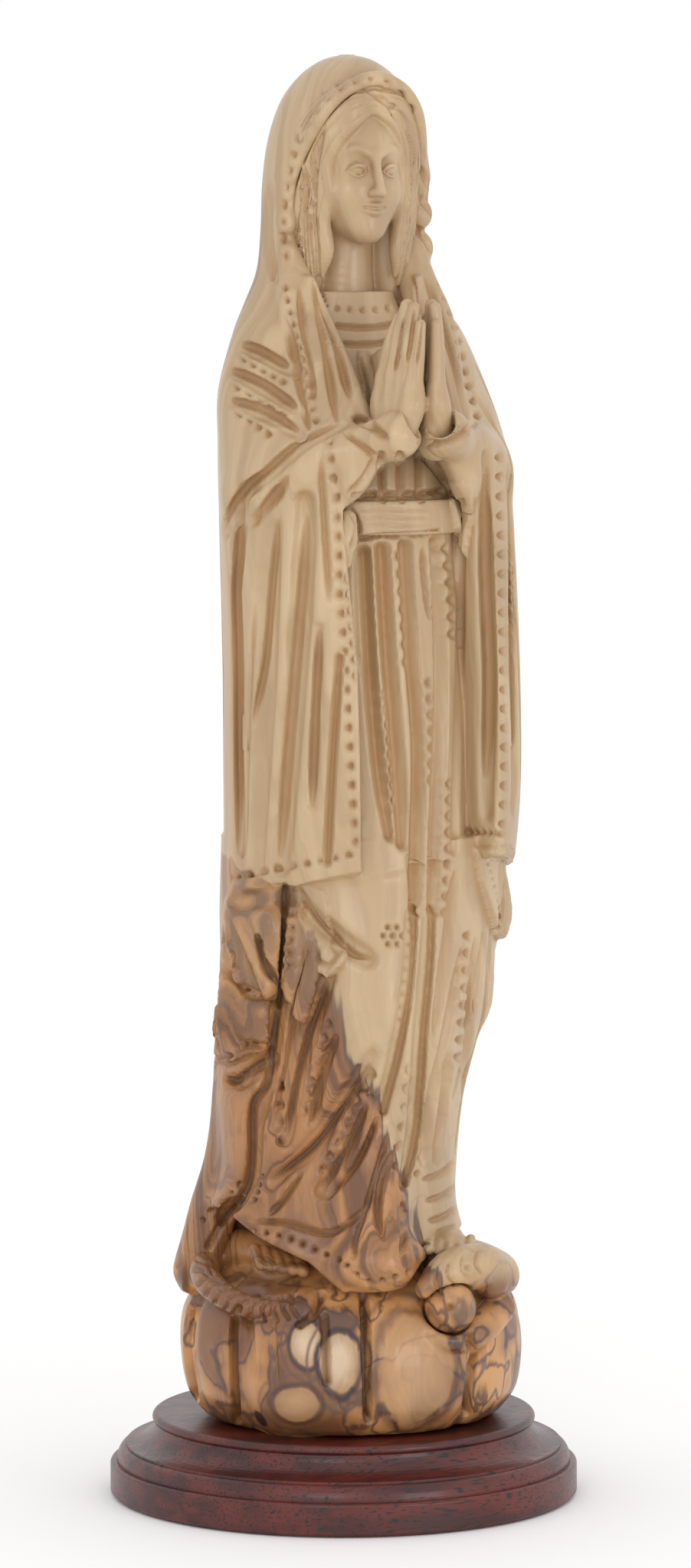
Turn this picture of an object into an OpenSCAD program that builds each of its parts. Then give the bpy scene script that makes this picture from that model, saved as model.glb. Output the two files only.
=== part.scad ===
// Praying madonna, carved from one block of olive wood, on a turned hardwood plinth.
// Frame: the origin is on the table under the plinth's axis, +Z is up, and the figure faces -Y.

/* [Plinth] */
// Diameter of the plinth's foot band
plinth_d = 111; // [104:1:140]
// Diameter of the plinth's flat top
plinth_top_d = 91; // [86:1:96]
// Height of the plinth's top over the table
plinth_h = 19.5; // [16:0.5:28]
// Height of the straight foot band
band_h = 8; // [5:0.5:9]
// Height of the rounded lip under the flat top
lip_h = 2.4; // [1.5:0.1:3.5]

/* [Carved figure] */
// Height of the carving over the plinth's top
figure_h = 320.5; // [270:0.5:390]
// Width across the hanging sleeves
figure_w = 72; // [60:1:86]
// Depth of the robe and cloak at the waist
figure_d = 59; // [50:1:70]
// Width of the hood
hood_w = 37; // [32:1:44]
// Width of the bare head inside the hood
head_w = 22; // [19:1:25]
// Height of the sash at the waist
sash_h = 7; // [5:0.5:10]
// Length of the hands, wrist to fingertips
hand_l = 26; // [22:1:31]
// Pleats around the robe
pleats = 17; // [11:2:23]
// Depth of a pleat's groove, as a share of the radius
pleat_depth = 0.07; // [0.03:0.01:0.1]

/* [Mound and serpent] */
// Width of the mound that the figure stands on
mound_w = 83; // [72:1:86]
// Depth of the mound, front to back
mound_d = 75; // [66:1:80]
// Height of the mound over the plinth's top
mound_h = 37; // [30:1:44]
// Lobes around the mound
lobes = 9; // [7:2:13]
// Thickness of the serpent's body
serpent_d = 8; // [6:0.5:10]
// Diameter of the apple in the serpent's mouth
apple_d = 11; // [9:0.5:13]

/* [Fixings] */
// Diameter of the glued locating dowel on the plinth's axis
dowel_d = 10; // [6:1:12]
// Length of the dowel
dowel_l = 28; // [22:1:34]
// Thread diameter of the two countersunk wood screws
screw_d = 4; // [3:0.5:5]
// Length of the screws
screw_l = 38; // [32:1:45]
// Distance from the plinth's axis to each screw
screw_offset = 20; // [15:1:24]
// Clearance on the screw's diameter where it passes through the plinth
screw_clearance = 0.5; // [0.3:0.1:0.8]

/* [Felt] */
// Thickness of the felt disc under the plinth
felt_t = 1.5; // [1:0.1:3]
// How deep the felt lies in its recess
felt_recess = 1.2; // [0.5:0.1:1.2]
// Width of the plinth's rim left around the felt
felt_margin = 5; // [3:0.5:10]

/* [Hidden] */

// The rim stands this far over the table, because the felt is thicker than its recess.
rim_z = felt_t - felt_recess;
recess_z = felt_t;
total_h = plinth_h + figure_h;

// The tables below are drawn for a carving of this size, and stretched to the one asked for.
drawn_h = 320.5;
drawn_w = 72;
drawn_d = 59;
drawn_mound_h = 37;
drawn_plinth_h = 19.5;
stretch_x = figure_w / drawn_w;
stretch_y = figure_d / drawn_d;
rise = (figure_h - mound_h) / (drawn_h - drawn_mound_h);
mound_top = plinth_h + mound_h;

// A drawn height above the mound, carried to its height on this carving
function up(z) = mound_top + (z - drawn_plinth_h - drawn_mound_h) * rise;
// A drawn point, carried to its place on this carving
function place(p) = [p.x * stretch_x, p.y * stretch_y, up(p.z)];

// Sections are [height, centre x, centre y, half width, half depth], as drawn.
robe_sections = [
    [50, 3, -7, 26, 25], [60, 3, -7, 25, 24], [80, 2, -6, 24, 23], [102, 2, -7, 25, 24],
    [120, 3, -8, 28, 26], [142, 3, -8, 30, 27], [165, 1, -9, 28, 26], [200, 0, -9, 25, 24],
    [226, 0, -9, 21, 21], [240, 0, -8, 22, 20], [262, 0, -5, 23, 16], [276, 0, -3, 19, 13],
    [286, 0, -1, 13, 10], [294, 0, 1, 10, 9]
];
cloak_sections = [
    [50, -4, 9, 30, 31], [60, -4, 8, 28, 29], [78, -4, 5, 26, 26], [98, -4, 3, 26, 25],
    [125, -2, 0, 28, 24], [150, -1, -2, 30, 24], [200, 0, -5, 33, 25], [240, 0, -4, 33, 24],
    [262, 0, -3, 32, 22], [276, 0, -1, 28, 19], [286, 0, 1, 21, 17], [292, 0, 1, 17, 16]
];
// Half the angle that the cloak leaves open at the front, at each cloak section
cloak_gaps = [70, 72, 74, 74, 72, 66, 60, 52, 40, 34, 34, 38];
hood_sections = [
    [283, 0, 2, 16, 15], [294, 0, 2, 18, 18], [306, 0, 2, 18.5, 19], [316, 0, 1, 18, 18.5],
    [326, 0, 1, 16, 17], [334, 0, 1, 11.5, 13], [338.5, 0, 1, 6, 8], [340, 0, 1, 1.5, 2]
];
sleeve_sections = [
    [140, -25, -15, 8, 17], [146, -25, -15, 9, 19], [170, -25, -17, 9, 18],
    [205, -24, -18, 8, 17], [235, -22, -18, 8, 15], [251, -21, -20, 7, 11], [257, -20, -21, 4, 7]
];
sleeve_turn = 42;

robe_steps = 18;
robe_sides = 3 * pleats;
cloak_steps = 16;
cloak_sides = 30;
hood_steps = 10;
hood_sides = 28;
sleeve_steps = 8;
sleeve_sides = 20;
mound_steps = 8;
mound_sides = 6 * lobes;

// Serpent's route from the tail's tip, drawn over the mound, as [x, y, height over the plinth, thickness share]
serpent_route = [
    [-24, -26, 31, 0.25], [-30, -20, 31, 0.7], [-34, -9, 33, 0.95], [-31, 3, 34, 1], [-20, 12, 34, 1],
    [0, 15, 34, 1], [20, 10, 34, 1], [32, 0, 33, 1], [35, -11, 34, 1], [31, -21, 36, 1],
    [24, -27, 36, 0.95], [18, -30, 34, 1.1], [13, -32, 31, 1.35], [10, -34, 29, 1.0]
];
serpent_rings = 46;
serpent_sides = 8;

// Point at t along a smooth curve through p, where t runs from 0 to the last point's index
function spline(p, t) =
    let (i = min(floor(t), len(p) - 2), u = t - i)
    let (a = p[max(i - 1, 0)], b = p[i], c = p[i + 1], d = p[min(i + 2, len(p) - 1)])
    0.5 * (2 * b + (c - a) * u + (2 * a - 5 * b + 4 * c - d) * u * u
        + (3 * b - 3 * c + d - a) * u * u * u);
function along(p, steps) = [for (k = [0:steps]) spline(p, k * (len(p) - 1) / steps)];

// Direction at an angle round the figure: 0 is the front, 90 is the figure's left
function heading(a) = [sin(a), -cos(a)];
function on_ellipse(s, a, grow = 1) =
    [s[1] + s[3] * grow * heading(a).x, s[2] + s[4] * grow * heading(a).y, s[0]];

// Room left past the dowel's ends and the screws' points, for glue and chips
tip_room = 1.5;
// The dowel reaches further into the carving than into the plinth.
dowel_bias = 2;
dowel_z = plinth_h - dowel_l / 2 + dowel_bias;
screw_head_d = screw_d * 2;
screw_head_h = screw_d * 0.5;
screw_head_z = felt_t + 1.5;

// One closed solid through a list of flat rings with equal numbers of points
module skin(rings) {
    n = len(rings[0]);
    last = len(rings) - 1;
    sides = [for (k = [0:last - 1], i = [0:n - 1]) let (j = (i + 1) % n)
        [k * n + i, (k + 1) * n + i, (k + 1) * n + j, k * n + j]];
    quads = [for (q = sides) each [[q[0], q[1], q[2]], [q[0], q[2], q[3]]]];
    bottom = [for (i = [0:n - 1]) i];
    top = [for (i = [n - 1:-1:0]) last * n + i];
    polyhedron([for (r = rings) each r], concat(quads, [bottom, top]), convexity = 8);
}

// The mound's outline is a bulging ellipse with a groove between each pair of lobes.
module mound() {
    groove = 0.07;
    overlap = 4;
    sections = [
        [0, 0, -4, 0.84, 0.84], [0.12, 0, -4, 0.93, 0.93], [0.4, 0, -4, 1, 1],
        [0.7, 0, -3, 0.97, 0.97], [0.92, 0, -2, 0.84, 0.84], [1, 0, -2, 0.7, 0.7]
    ];
    skin([for (s = along(sections, mound_steps)) [for (i = [0:mound_sides - 1])
        let (a = 360 * i / mound_sides)
        let (dip = 1 - groove * pow(abs(cos(lobes * a / 2)), 6))
        on_ellipse([plinth_h + s[0] * (mound_h + overlap) , s[1], s[2], s[3] * mound_w / 2, s[4] * mound_d / 2],
            a, dip)]]);
}

// The long tunic, with gouged pleats that fade out above the sash
module robe() {
    waist = 226;
    skin([for (s = along(robe_sections, robe_steps)) [for (i = [0:robe_sides - 1])
        let (a = 360 * i / robe_sides)
        let (fade = s[0] < waist ? 1 : 0.3)
        let (dip = 1 - fade * pleat_depth * pow(abs(sin(pleats * a / 2)), 4))
        place(on_ellipse(s, a, dip))]]);
}

// The sash is a band that stands a little proud of the robe's waist.
module sash() {
    waist = 229;
    proud = 1.6;
    skin([for (k = [0:3]) let (h = k == 0 || k == 3 ? 0 : proud) let (z = [0, 0.2, 0.8, 1][k])
        [for (i = [0:robe_sides / 2 - 1])
            let (p = on_ellipse([0, 0, -9.5, 21.5 + h, 21 + h], 720 * i / robe_sides))
            [p.x * stretch_x, p.y * stretch_y, up(waist) + (z - 0.5) * sash_h]]]);
}

// The cloak hangs round the back from the neck to the mound, and is open at the front.
// The carving is solid, so the cloak's inner wall lies deep inside the robe.
module cloak() {
    cloak_core = 0.2;
    gaps = [for (g = cloak_gaps) [g]];
    sections = along(cloak_sections, cloak_steps);
    gap_at = along(gaps, cloak_steps);
    skin([for (k = [0:cloak_steps]) let (s = sections[k], gap = gap_at[k][0])
        let (arc = [for (i = [0:cloak_sides]) gap + (360 - 2 * gap) * i / cloak_sides])
        concat(
            [for (a = arc) place(on_ellipse(s, a))],
            [for (i = [cloak_sides:-1:0]) place(on_ellipse(s, arc[i], cloak_core))])]);
}

// The hood is a dome, cut away in front for the face.
module hood() {
    widen = hood_w / 37;
    face_cut = [13.5, 20, 23];
    difference() {
        skin([for (s = along(hood_sections, hood_steps)) [for (i = [0:hood_sides - 1])
            let (p = on_ellipse(s, 360 * i / hood_sides)) [p.x * widen, p.y * widen, up(p.z)]]]);
        translate([0, -16, up(307)]) scale(face_cut) sphere(1, $fn = 28);
    }
}

// Neck and head, with the hair as a fuller form behind the face
module head() {
    head_h = head_w * 1.45;
    face_y = -5;
    translate([0, face_y, up(311.5)]) scale([head_w / 2, head_w * 0.56, head_h / 2]) sphere(1, $fn = 24);
    translate([0, 0, up(309)]) scale([head_w * 0.62, head_w * 0.6, head_h * 0.55]) sphere(1, $fn = 20);
    translate([0, -3.5, up(278)]) cylinder(h = up(300) - up(278), r1 = head_w * 0.32, r2 = head_w * 0.27, $fn = 20);
}

// A panel of the cloak that hangs from one forearm, on the figure's right
module hanging_sleeve() {
    skin([for (s = along(sleeve_sections, sleeve_steps)) [for (i = [0:sleeve_sides - 1])
        let (a = 360 * i / sleeve_sides)
        let (p = [s[3] * heading(a).x, s[4] * heading(a).y])
        let (c = cos(sleeve_turn), n = sin(sleeve_turn))
        place([s[1] + p.x * c - p.y * n, s[2] + p.x * n + p.y * c, s[0]])]]);
}

// A round body along a route of [x, y, z, radius] that never runs straight up
module tube(route, sides) {
    last = len(route) - 1;
    skin([for (k = [0:last])
        let (here = [route[k].x, route[k].y, route[k].z], r = route[k][3])
        let (a = route[max(k - 1, 0)], b = route[min(k + 1, last)])
        let (ahead = [b.x - a.x, b.y - a.y, b.z - a.z], side = [b.y - a.y, a.x - b.x, 0])
        let (out = side / norm(side), over = cross(out, ahead), rise = over / norm(over))
        [for (i = [0:sides - 1]) here + r * (cos(-360 * i / sides) * out + sin(-360 * i / sides) * rise)]]);
}

// A forearm reaches in from the elbow to the wrist and ends in a wide cuff.
module forearm() {
    route = [[-29, -10, 243, 5], [-26, -16, 244, 8], [-20, -24, 246, 8.2], [-13, -30.5, 248, 6.8],
        [-8, -32.5, 250, 5.6], [-4, -33, 252, 3.8]];
    tube([for (p = along(route, 8)) concat(place(p), [p[3]])], 14);
}

// One hand of the pressed pair: palm, fingers and thumb, leaning forward as they rise
module hand() {
    wrist = place([-2.8, -32, 253]);
    lean = 0.27;
    function reach(share, back) = wrist + [0, -lean * hand_l * share + back, hand_l * share];
    hull() {
        translate(wrist) sphere(3, $fn = 14);
        translate(reach(0.42, 2.6)) sphere(2.6, $fn = 14);
        translate(reach(0.42, -2.6)) sphere(2.6, $fn = 14);
    }
    hull() {
        translate(reach(0.42, 2.6)) sphere(2.4, $fn = 14);
        translate(reach(0.42, -2.6)) sphere(2.4, $fn = 14);
        translate(reach(0.93, 1.2)) sphere(1.7, $fn = 14);
        translate(reach(0.93, -1.4)) sphere(1.7, $fn = 14);
    }
    hull() {
        translate(reach(0.1, 2.6)) sphere(1.9, $fn = 12);
        translate(reach(0.6, 5)) sphere(1.3, $fn = 12);
    }
}

// The toes of the right foot show under the hem.
module foot() {
    hull() {
        translate([-17, -24, mound_top]) scale([1.5, 1.6, 0.8]) sphere(4.5, $fn = 16);
        translate([-14, -12, mound_top + 2]) sphere(5, $fn = 16);
    }
}

// The serpent lies round the mound under the hem, with an apple in its mouth.
module serpent() {
    route = along([for (p = serpent_route)
        [p.x * mound_w / 83, p.y * mound_d / 75, plinth_h + p.z * mound_h / drawn_mound_h, p[3]]], serpent_rings);
    tube([for (p = route) [p.x, p.y, p.z, p[3] * serpent_d / 2]], serpent_sides);
    apple = route[serpent_rings];
    translate([apple.x - apple_d * 0.2, apple.y - apple_d * 0.25, apple.z]) sphere(apple_d / 2, $fn = 20);
}

module carved_figure() {
    color("burlywood") difference() {
        resize([0, 0, 0]) union() {
            mound();
            robe();
            sash();
            cloak();
            hood();
            head();
            hanging_sleeve();
            mirror([1, 0, 0]) hanging_sleeve();
            forearm();
            mirror([1, 0, 0]) forearm();
            hand();
            mirror([1, 0, 0]) hand();
            foot();
            serpent();
        }
        translate([0, 0, plinth_h - 1]) cylinder(h = dowel_z + dowel_l + tip_room - plinth_h + 1, d = dowel_d, $fn = 48);
        for (y = [-screw_offset, screw_offset])
            translate([0, y, plinth_h - 1])
                cylinder(h = screw_head_z + screw_l + tip_room - plinth_h + 1, d = screw_d, $fn = 32);
    }
}

// Turned moulding: foot band, ovolo, narrow step, cove and a rounded lip under the flat top
module plinth() {
    r = plinth_d / 2;
    top_r = plinth_top_d / 2;
    edge = 0.8;
    step_h = 0.6;
    step_z = (band_h + plinth_h - lip_h) / 2 - 0.8;
    step_r = (r + top_r) / 2 + 1.2;
    neck_z = plinth_h - lip_h;
    round_steps = 10;
    function arc(cx, cz, rx, rz, from, to) =
        [for (k = [0:round_steps]) let (a = from + (to - from) * k / round_steps) [cx + rx * cos(a), cz + rz * sin(a)]];
    color("saddlebrown") difference() {
        rotate_extrude($fn = 144) polygon(concat(
            [[0, rim_z], [r - edge, rim_z], [r, rim_z + edge]],
            arc(r - edge, band_h - edge, edge, edge, 0, 90),
            arc(step_r, band_h, r - 2 * edge - step_r, step_z - band_h, 0, 90),
            arc(step_r, neck_z, step_r - top_r + lip_h / 4, neck_z - step_z - step_h, 270, 180),
            arc(top_r - lip_h / 2, plinth_h - lip_h / 2, lip_h / 2, lip_h / 2, -60, 90),
            [[0, plinth_h]]));
        translate([0, 0, -1]) cylinder(h = recess_z + 1, d = plinth_d - 2 * felt_margin, $fn = 96);
        translate([0, 0, dowel_z - tip_room]) cylinder(h = plinth_h, d = dowel_d, $fn = 48);
        for (y = [-screw_offset, screw_offset]) translate([0, y, 0]) {
            cylinder(h = plinth_h + 1, d = screw_d + screw_clearance, $fn = 48);
            cylinder(h = screw_head_z, d = screw_head_d, $fn = 48);
            translate([0, 0, screw_head_z])
                cylinder(h = screw_head_h, d1 = screw_head_d, d2 = screw_d + screw_clearance, $fn = 48);
        }
    }
}

// Grooveless beech dowel with chamfered ends
module locating_dowel() {
    chamfer = 1;
    r = dowel_d / 2;
    color("wheat") translate([0, 0, dowel_z]) rotate_extrude($fn = 48)
        polygon([[0, 0], [r - chamfer, 0], [r, chamfer], [r, dowel_l - chamfer], [r - chamfer, dowel_l], [0, dowel_l]]);
}

// Countersunk wood screw, with its head in the plinth and its thread in the carving
module wood_screw(y) {
    point_l = screw_d * 1.2;
    slot_w = 0.8;
    r = screw_d / 2;
    color("goldenrod") translate([0, y, screw_head_z]) difference() {
        rotate_extrude($fn = 48) polygon([
            [0, 0], [screw_head_d / 2, 0], [r, screw_head_h], [r, screw_l - point_l], [0.3, screw_l], [0, screw_l]]);
        translate([-screw_d, -slot_w / 2, -1]) cube([2 * screw_d, slot_w, 1 + screw_head_h / 2]);
    }
}

module front_screw() wood_screw(-screw_offset);
module rear_screw() wood_screw(screw_offset);

// Felt disc glued into the recess, which the statue stands on
module felt_disc() {
    color("darkolivegreen") cylinder(h = felt_t, d = plinth_d - 2 * felt_margin, $fn = 96);
}

carved_figure();
plinth();
locating_dowel();
front_screw();
rear_screw();
felt_disc();
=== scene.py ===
# %% [markdown]
# # A praying madonna, carved from one block of olive wood
#
# The real statue is one block of olive wood: figure, drapery, mound and serpent are cut from it with
# gouges, oiled, and screwed to a turned plinth. A carver works from the outside in. The block is first sawn
# to big rounded masses, then the masses are parted by steps and hollows, and last the surface is cut with
# gouges. This lesson follows the same three stages, and everything is in the frame of the engineering
# model.

# %% Load the frame
import math

import bmesh
import bpy
import numpy as np
import openvdb
from mathutils import Matrix, Vector


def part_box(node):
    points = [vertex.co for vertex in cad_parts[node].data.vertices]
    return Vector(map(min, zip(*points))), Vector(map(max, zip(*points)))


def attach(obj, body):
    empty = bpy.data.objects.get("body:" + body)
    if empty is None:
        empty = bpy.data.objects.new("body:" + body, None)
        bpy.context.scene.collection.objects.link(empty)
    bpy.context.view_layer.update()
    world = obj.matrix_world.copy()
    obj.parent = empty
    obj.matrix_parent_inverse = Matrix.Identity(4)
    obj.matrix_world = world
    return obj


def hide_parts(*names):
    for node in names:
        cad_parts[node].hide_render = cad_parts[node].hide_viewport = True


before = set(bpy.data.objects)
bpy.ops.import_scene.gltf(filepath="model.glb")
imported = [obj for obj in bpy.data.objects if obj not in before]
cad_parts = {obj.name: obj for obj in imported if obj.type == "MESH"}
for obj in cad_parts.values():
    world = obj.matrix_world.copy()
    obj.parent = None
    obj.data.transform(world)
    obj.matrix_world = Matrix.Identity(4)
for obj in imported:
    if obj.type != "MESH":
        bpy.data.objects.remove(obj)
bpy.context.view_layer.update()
MM = 0.001
DRAWN_HEIGHT = 340.0
figure_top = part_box("carved_figure")[1][2]
plinth_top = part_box("plinth")[1][2]
TO_METRES = figure_top / DRAWN_HEIGHT
print("the statue stands", round(figure_top / MM, 1), "mm tall, and its plinth", round(plinth_top / MM, 1),
      "mm")

# %% [markdown]
# ## The eye and the drawing board
#
# A carver draws the folds on the block as seen from the main viewpoint, and cuts them in along the line of
# sight. So the viewpoint is settled first: level with the head, from the figure's right front. A drawing
# board stands upright on the statue's axis and faces the eye. Its two directions are across and up, in
# millimetres.

# %% The eye
EYE_TURN = -28.0
EYE_DISTANCE = 1450.0
EYE_HEIGHT = 296.0


class Board:
    """An upright drawing board on the statue's axis, facing an eye that stands this far round the statue."""

    def __init__(self, turn):
        angle = math.radians(turn)
        self.across = np.array((math.cos(angle), math.sin(angle)))
        self.towards = np.array((math.sin(angle), -math.cos(angle)))

    def seen(self, places):
        """Where these points appear on the board, and how far in front of it they are."""
        ahead = places[:, :2] @ self.towards
        scale = EYE_DISTANCE / (EYE_DISTANCE - ahead)
        up = EYE_HEIGHT + (places[:, 2] - EYE_HEIGHT) * scale
        return places[:, :2] @ self.across * scale, up, ahead

    def place(self, across, up, ahead):
        """The point that appears at this place on the board, so far in front of it."""
        near = 1 - ahead / EYE_DISTANCE
        flat = self.across * across * near + self.towards * ahead
        return float(flat[0]), float(flat[1]), float(EYE_HEIGHT + (up - EYE_HEIGHT) * near)


main_board = Board(EYE_TURN)
eye_place = np.append(main_board.towards * EYE_DISTANCE, EYE_HEIGHT)
print("the eye is at", eye_place.round(), "mm")

# %% [markdown]
# ## A block of wood as a grid
#
# Folds, hollows and undercuts run into each other on a carving, so the big masses aren't separate meshes.
# The block is a fine grid of numbers instead, each one the distance to the surface, negative inside the
# wood. Adding a mass takes the smaller of two distances, cutting takes the larger, and a blend width rounds
# the corner between them. Blender's own OpenVDB library then turns the grid into a mesh.

# %% The block and its tools
def soft_min(a, b, blend):
    """The smaller of two distances, with the corner between them rounded over the blend width."""
    if blend <= 0:
        return np.minimum(a, b)
    near = np.maximum(blend - np.abs(a - b), 0) / blend
    return np.minimum(a, b) - near * near * blend / 4


def smooth_path(points, per_span=8):
    """A smooth curve through the points, as a row of closely spaced ones."""
    p = np.array(points, float)
    ends = np.vstack([2 * p[0] - p[1], p, 2 * p[-1] - p[-2]])
    t = np.linspace(0, 1, per_span, endpoint=False)[:, None]
    spans = [
        0.5 * (2 * b + (c - a) * t + (2 * a - 5 * b + 4 * c - d) * t**2 + (3 * b - 3 * c + d - a) * t**3)
        for a, b, c, d in zip(ends, ends[1:], ends[2:], ends[3:])
    ]
    return np.vstack(spans + [p[-1:]])


class Block:
    """A block of wood: a grid of distances to its surface in millimetres, negative inside."""

    FAR = 6.0
    SEARCH_FROM, SEARCH_TO, SEARCH_STEP = 46, -20, -0.5
    FOLD_BLEND = 1.6

    def __init__(self, low, high, step):
        self.low = np.array(low, float)
        self.step = step
        counts = np.ceil((np.array(high, float) - self.low) / step).astype(int) + 1
        self.distance = np.full(counts, self.FAR, np.float32)

    def window(self, low, high):
        """The cells between two corners, and where they are."""
        counts = self.distance.shape
        first = [max(0, int((a - b) / self.step)) for a, b in zip(low, self.low)]
        last = [min(n, int((a - b) / self.step) + 2) for a, b, n in zip(high, self.low, counts)]
        axes = [
            (self.low[i] + self.step * np.arange(first[i], last[i])).astype(np.float32) for i in range(3)
        ]
        return tuple(slice(a, b) for a, b in zip(first, last)), np.meshgrid(*axes, indexing="ij", sparse=True)

    def add(self, shape, low, high, blend=1.0):
        """Add a mass between two corners."""
        where, places = self.window(low, high)
        self.distance[where] = soft_min(self.distance[where], shape(*places), blend)

    def cut(self, shape, low, high, blend=0.6):
        """Cut a mass away between two corners."""
        where, places = self.window(low, high)
        self.distance[where] = -soft_min(-self.distance[where], shape(*places), blend)

    def rope(self, route, radii, blend=1.0, cut=False, per_span=5, flat=(1, 1, 1)):
        """A round-ended rope whose radius changes along a smooth route, added or cut away."""
        r = np.array([[v] for v in (radii if np.ndim(radii) else [radii] * len(route))], float)
        path = smooth_path(np.hstack([np.array(route, float), r]), per_span)
        reach = path[:, 3].max() / min(flat) + blend + 1
        low, high = path[:, :3].min(0) - reach, path[:, :3].max(0) + reach
        where, (x, y, z) = self.window(low, high)
        field = np.full(self.distance[where].shape, self.FAR, np.float32)
        for a, b in zip(path, path[1:]):
            near = max(a[3], b[3]) / min(flat) + blend + 1
            own, (px, py, pz) = self.window(np.minimum(a, b)[:3] - near, np.maximum(a, b)[:3] + near)
            inner = tuple(slice(s.start - w.start, s.stop - w.start) for s, w in zip(own, where))
            dx, dy, dz = px - a[0], py - a[1], pz - a[2]
            v = b[:3] - a[:3]
            t = np.clip((dx * v[0] + dy * v[1] + dz * v[2]) / max(v @ v, 1e-9), 0, 1)
            gap = ((dx - v[0] * t) * flat[0]) ** 2 + ((dy - v[1] * t) * flat[1]) ** 2
            gap = np.sqrt(gap + ((dz - v[2] * t) * flat[2]) ** 2) - (a[3] + (b[3] - a[3]) * t)
            field[inner] = np.minimum(field[inner], gap)
        old = self.distance[where]
        self.distance[where] = -soft_min(-old, field, blend) if cut else soft_min(old, field, blend)

    def front_of(self, board, across, up):
        """How far in front of the board the surface lies at this place on it."""
        for ahead in np.arange(self.SEARCH_FROM, self.SEARCH_TO, self.SEARCH_STEP):
            cell = ((np.array(board.place(across, up, ahead)) - self.low) / self.step).astype(int)
            if (cell >= 0).all() and (cell < self.distance.shape).all() and self.distance[tuple(cell)] < 0:
                return float(ahead)
        return 0.0

    def fold(self, board, radius, rise, *route):
        """A hollow between folds: a rope cut where the board sees, with its core this far outside."""
        path = smooth_path(route, 3)
        points = [board.place(u, z, self.front_of(board, u, z) + rise) for u, z in path]
        shares = [math.sin(math.pi * (k + 0.5) / len(points)) for k in range(len(points))]
        swell = [radius * (0.45 + 0.55 * share**0.4) for share in shares]
        self.rope(points, swell, self.FOLD_BLEND, cut=True, per_span=2)

    def mesh(self):
        """The surface as points in millimetres and four-sided faces."""
        grid = openvdb.FloatGrid(self.FAR / 2)
        edge = self.distance
        for axis in range(3):
            ends = [slice(None)] * 3
            for k in (0, -1):
                ends[axis] = k
                edge[tuple(ends)] = np.maximum(edge[tuple(ends)], self.step)
        grid.copyFromArray(np.clip(edge, -self.FAR / 2, self.FAR / 2))
        points, quads = grid.convertToQuads(0.0)
        return points * self.step + self.low, quads.astype(np.int64)


def stack(rows):
    """A mass of ellipses at rising heights: height, centre across, centre deep, half width, half depth."""
    table = smooth_path(rows, 6)

    def shape(x, y, z):
        cx, cy, a, b = (np.interp(z, table[:, 0], table[:, i]).astype(np.float32) for i in range(1, 5))
        dx, dy = x - cx, y - cy
        k = np.sqrt((dx / a) ** 2 + (dy / b) ** 2) + 1e-6
        side = np.sqrt(dx * dx + dy * dy) * (1 - 1 / k)
        return np.maximum(side, np.maximum(table[0, 0] - z, z - table[-1, 0]))

    return shape


def ball(centre, radii):
    """A ball, or an egg when three radii are given."""
    r = np.array(radii, float) * np.ones(3)

    def shape(x, y, z):
        dx, dy, dz = (x - centre[0]) / r[0], (y - centre[1]) / r[1], (z - centre[2]) / r[2]
        return (np.sqrt(dx**2 + dy**2 + dz**2) - 1) * r.min()

    return shape


def around(centre, radii, margin=2.0):
    """The two corners of the room that a ball needs."""
    r = np.array(radii, float) * np.ones(3) + margin
    return np.array(centre) - r, np.array(centre) + r


print("the block's tools are ready, and distances count up to", Block.FAR, "mm")

# %% [markdown]
# ## The big masses
#
# Seen from above, the draped figure is a leaning oval: the forearms push it forward and the cloak hangs
# behind. The oval is given at a few heights, and the block is sawn to it. Above the forearms' hems it is
# the cloak, drawn over the head; under them it is the gathered lower robe, which flares to the mound.

# %% Saw the block to the figure's outline
HEM = 150.0
CLOAK = [
    (136, 1.2, -8.5, 34.2, 28), (150, 1.8, -9.5, 35.5, 28.5), (170, 2.4, -10, 36.3, 29.5),
    (200, 2.1, -10, 36.2, 29.5),
    (235, 1.2, -9, 36.1, 27.5), (250, 0.6, -8, 35.6, 25), (262, -0.3, -5.5, 33.9, 21),
    (275, 0.2, -2, 29.2, 17.5),
    (282, 0, 0, 25, 16), (290, 0.3, 1.0, 21.3, 15.5), (300, 0.5, 0.5, 20.3, 17), (310, 0.7, -0.5, 20.3, 18.5),
    (320, 0.5, -0.5, 18.6, 18), (329, 0.4, -1, 15.6, 16), (335, 0.3, -1, 11, 12), (338.6, 0.3, -1, 6, 7),
    (340, 0.3, -1, 1.5, 2),
]
LOWER_ROBE = [
    (50, -5.4, -3, 35.4, 29.5), (60, -5.8, -4, 33.8, 27.5), (70, -5.6, -5, 30.4, 25),
    (80, -4.6, -6, 28.8, 24.5),
    (95, -3.8, -5.5, 30.0, 25), (107, -1.8, -5.5, 31, 26.5), (120, 0.4, -5.5, 32.8, 27),
    (140, 1.0, -5.5, 34, 27),
    (158, 1.2, -6.5, 34.2, 26),
]
GOWN = [
    (150, 0.5, -12, 24, 22), (165, 0.5, -12, 23, 21.5), (200, 0.5, -12, 22, 20.5), (222, 0.5, -12, 20, 18),
    (232, 0.5, -12, 20, 17), (242, 0.5, -10, 20, 17), (256, 0, -6, 20, 14), (270, 0, -4, 20, 10.5),
    (279, 0, -2, 15, 10), (283, 0, -1.5, 12.2, 9.4), (285, 0, -1.5, 11.5, 9.2),
]
body = Block((-43, -47, 47), (47, 31, 342), 0.45)
body_low, body_high = (-50, -50, 40), (50, 50, 345)


def hem_height(x, y):
    """The two hanging sleeves end higher towards the front, and a little higher on the figure's left."""
    return HEM - 6.5 - 0.28 * y + 2.5 * np.clip(x / 30, -1, 1)


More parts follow.
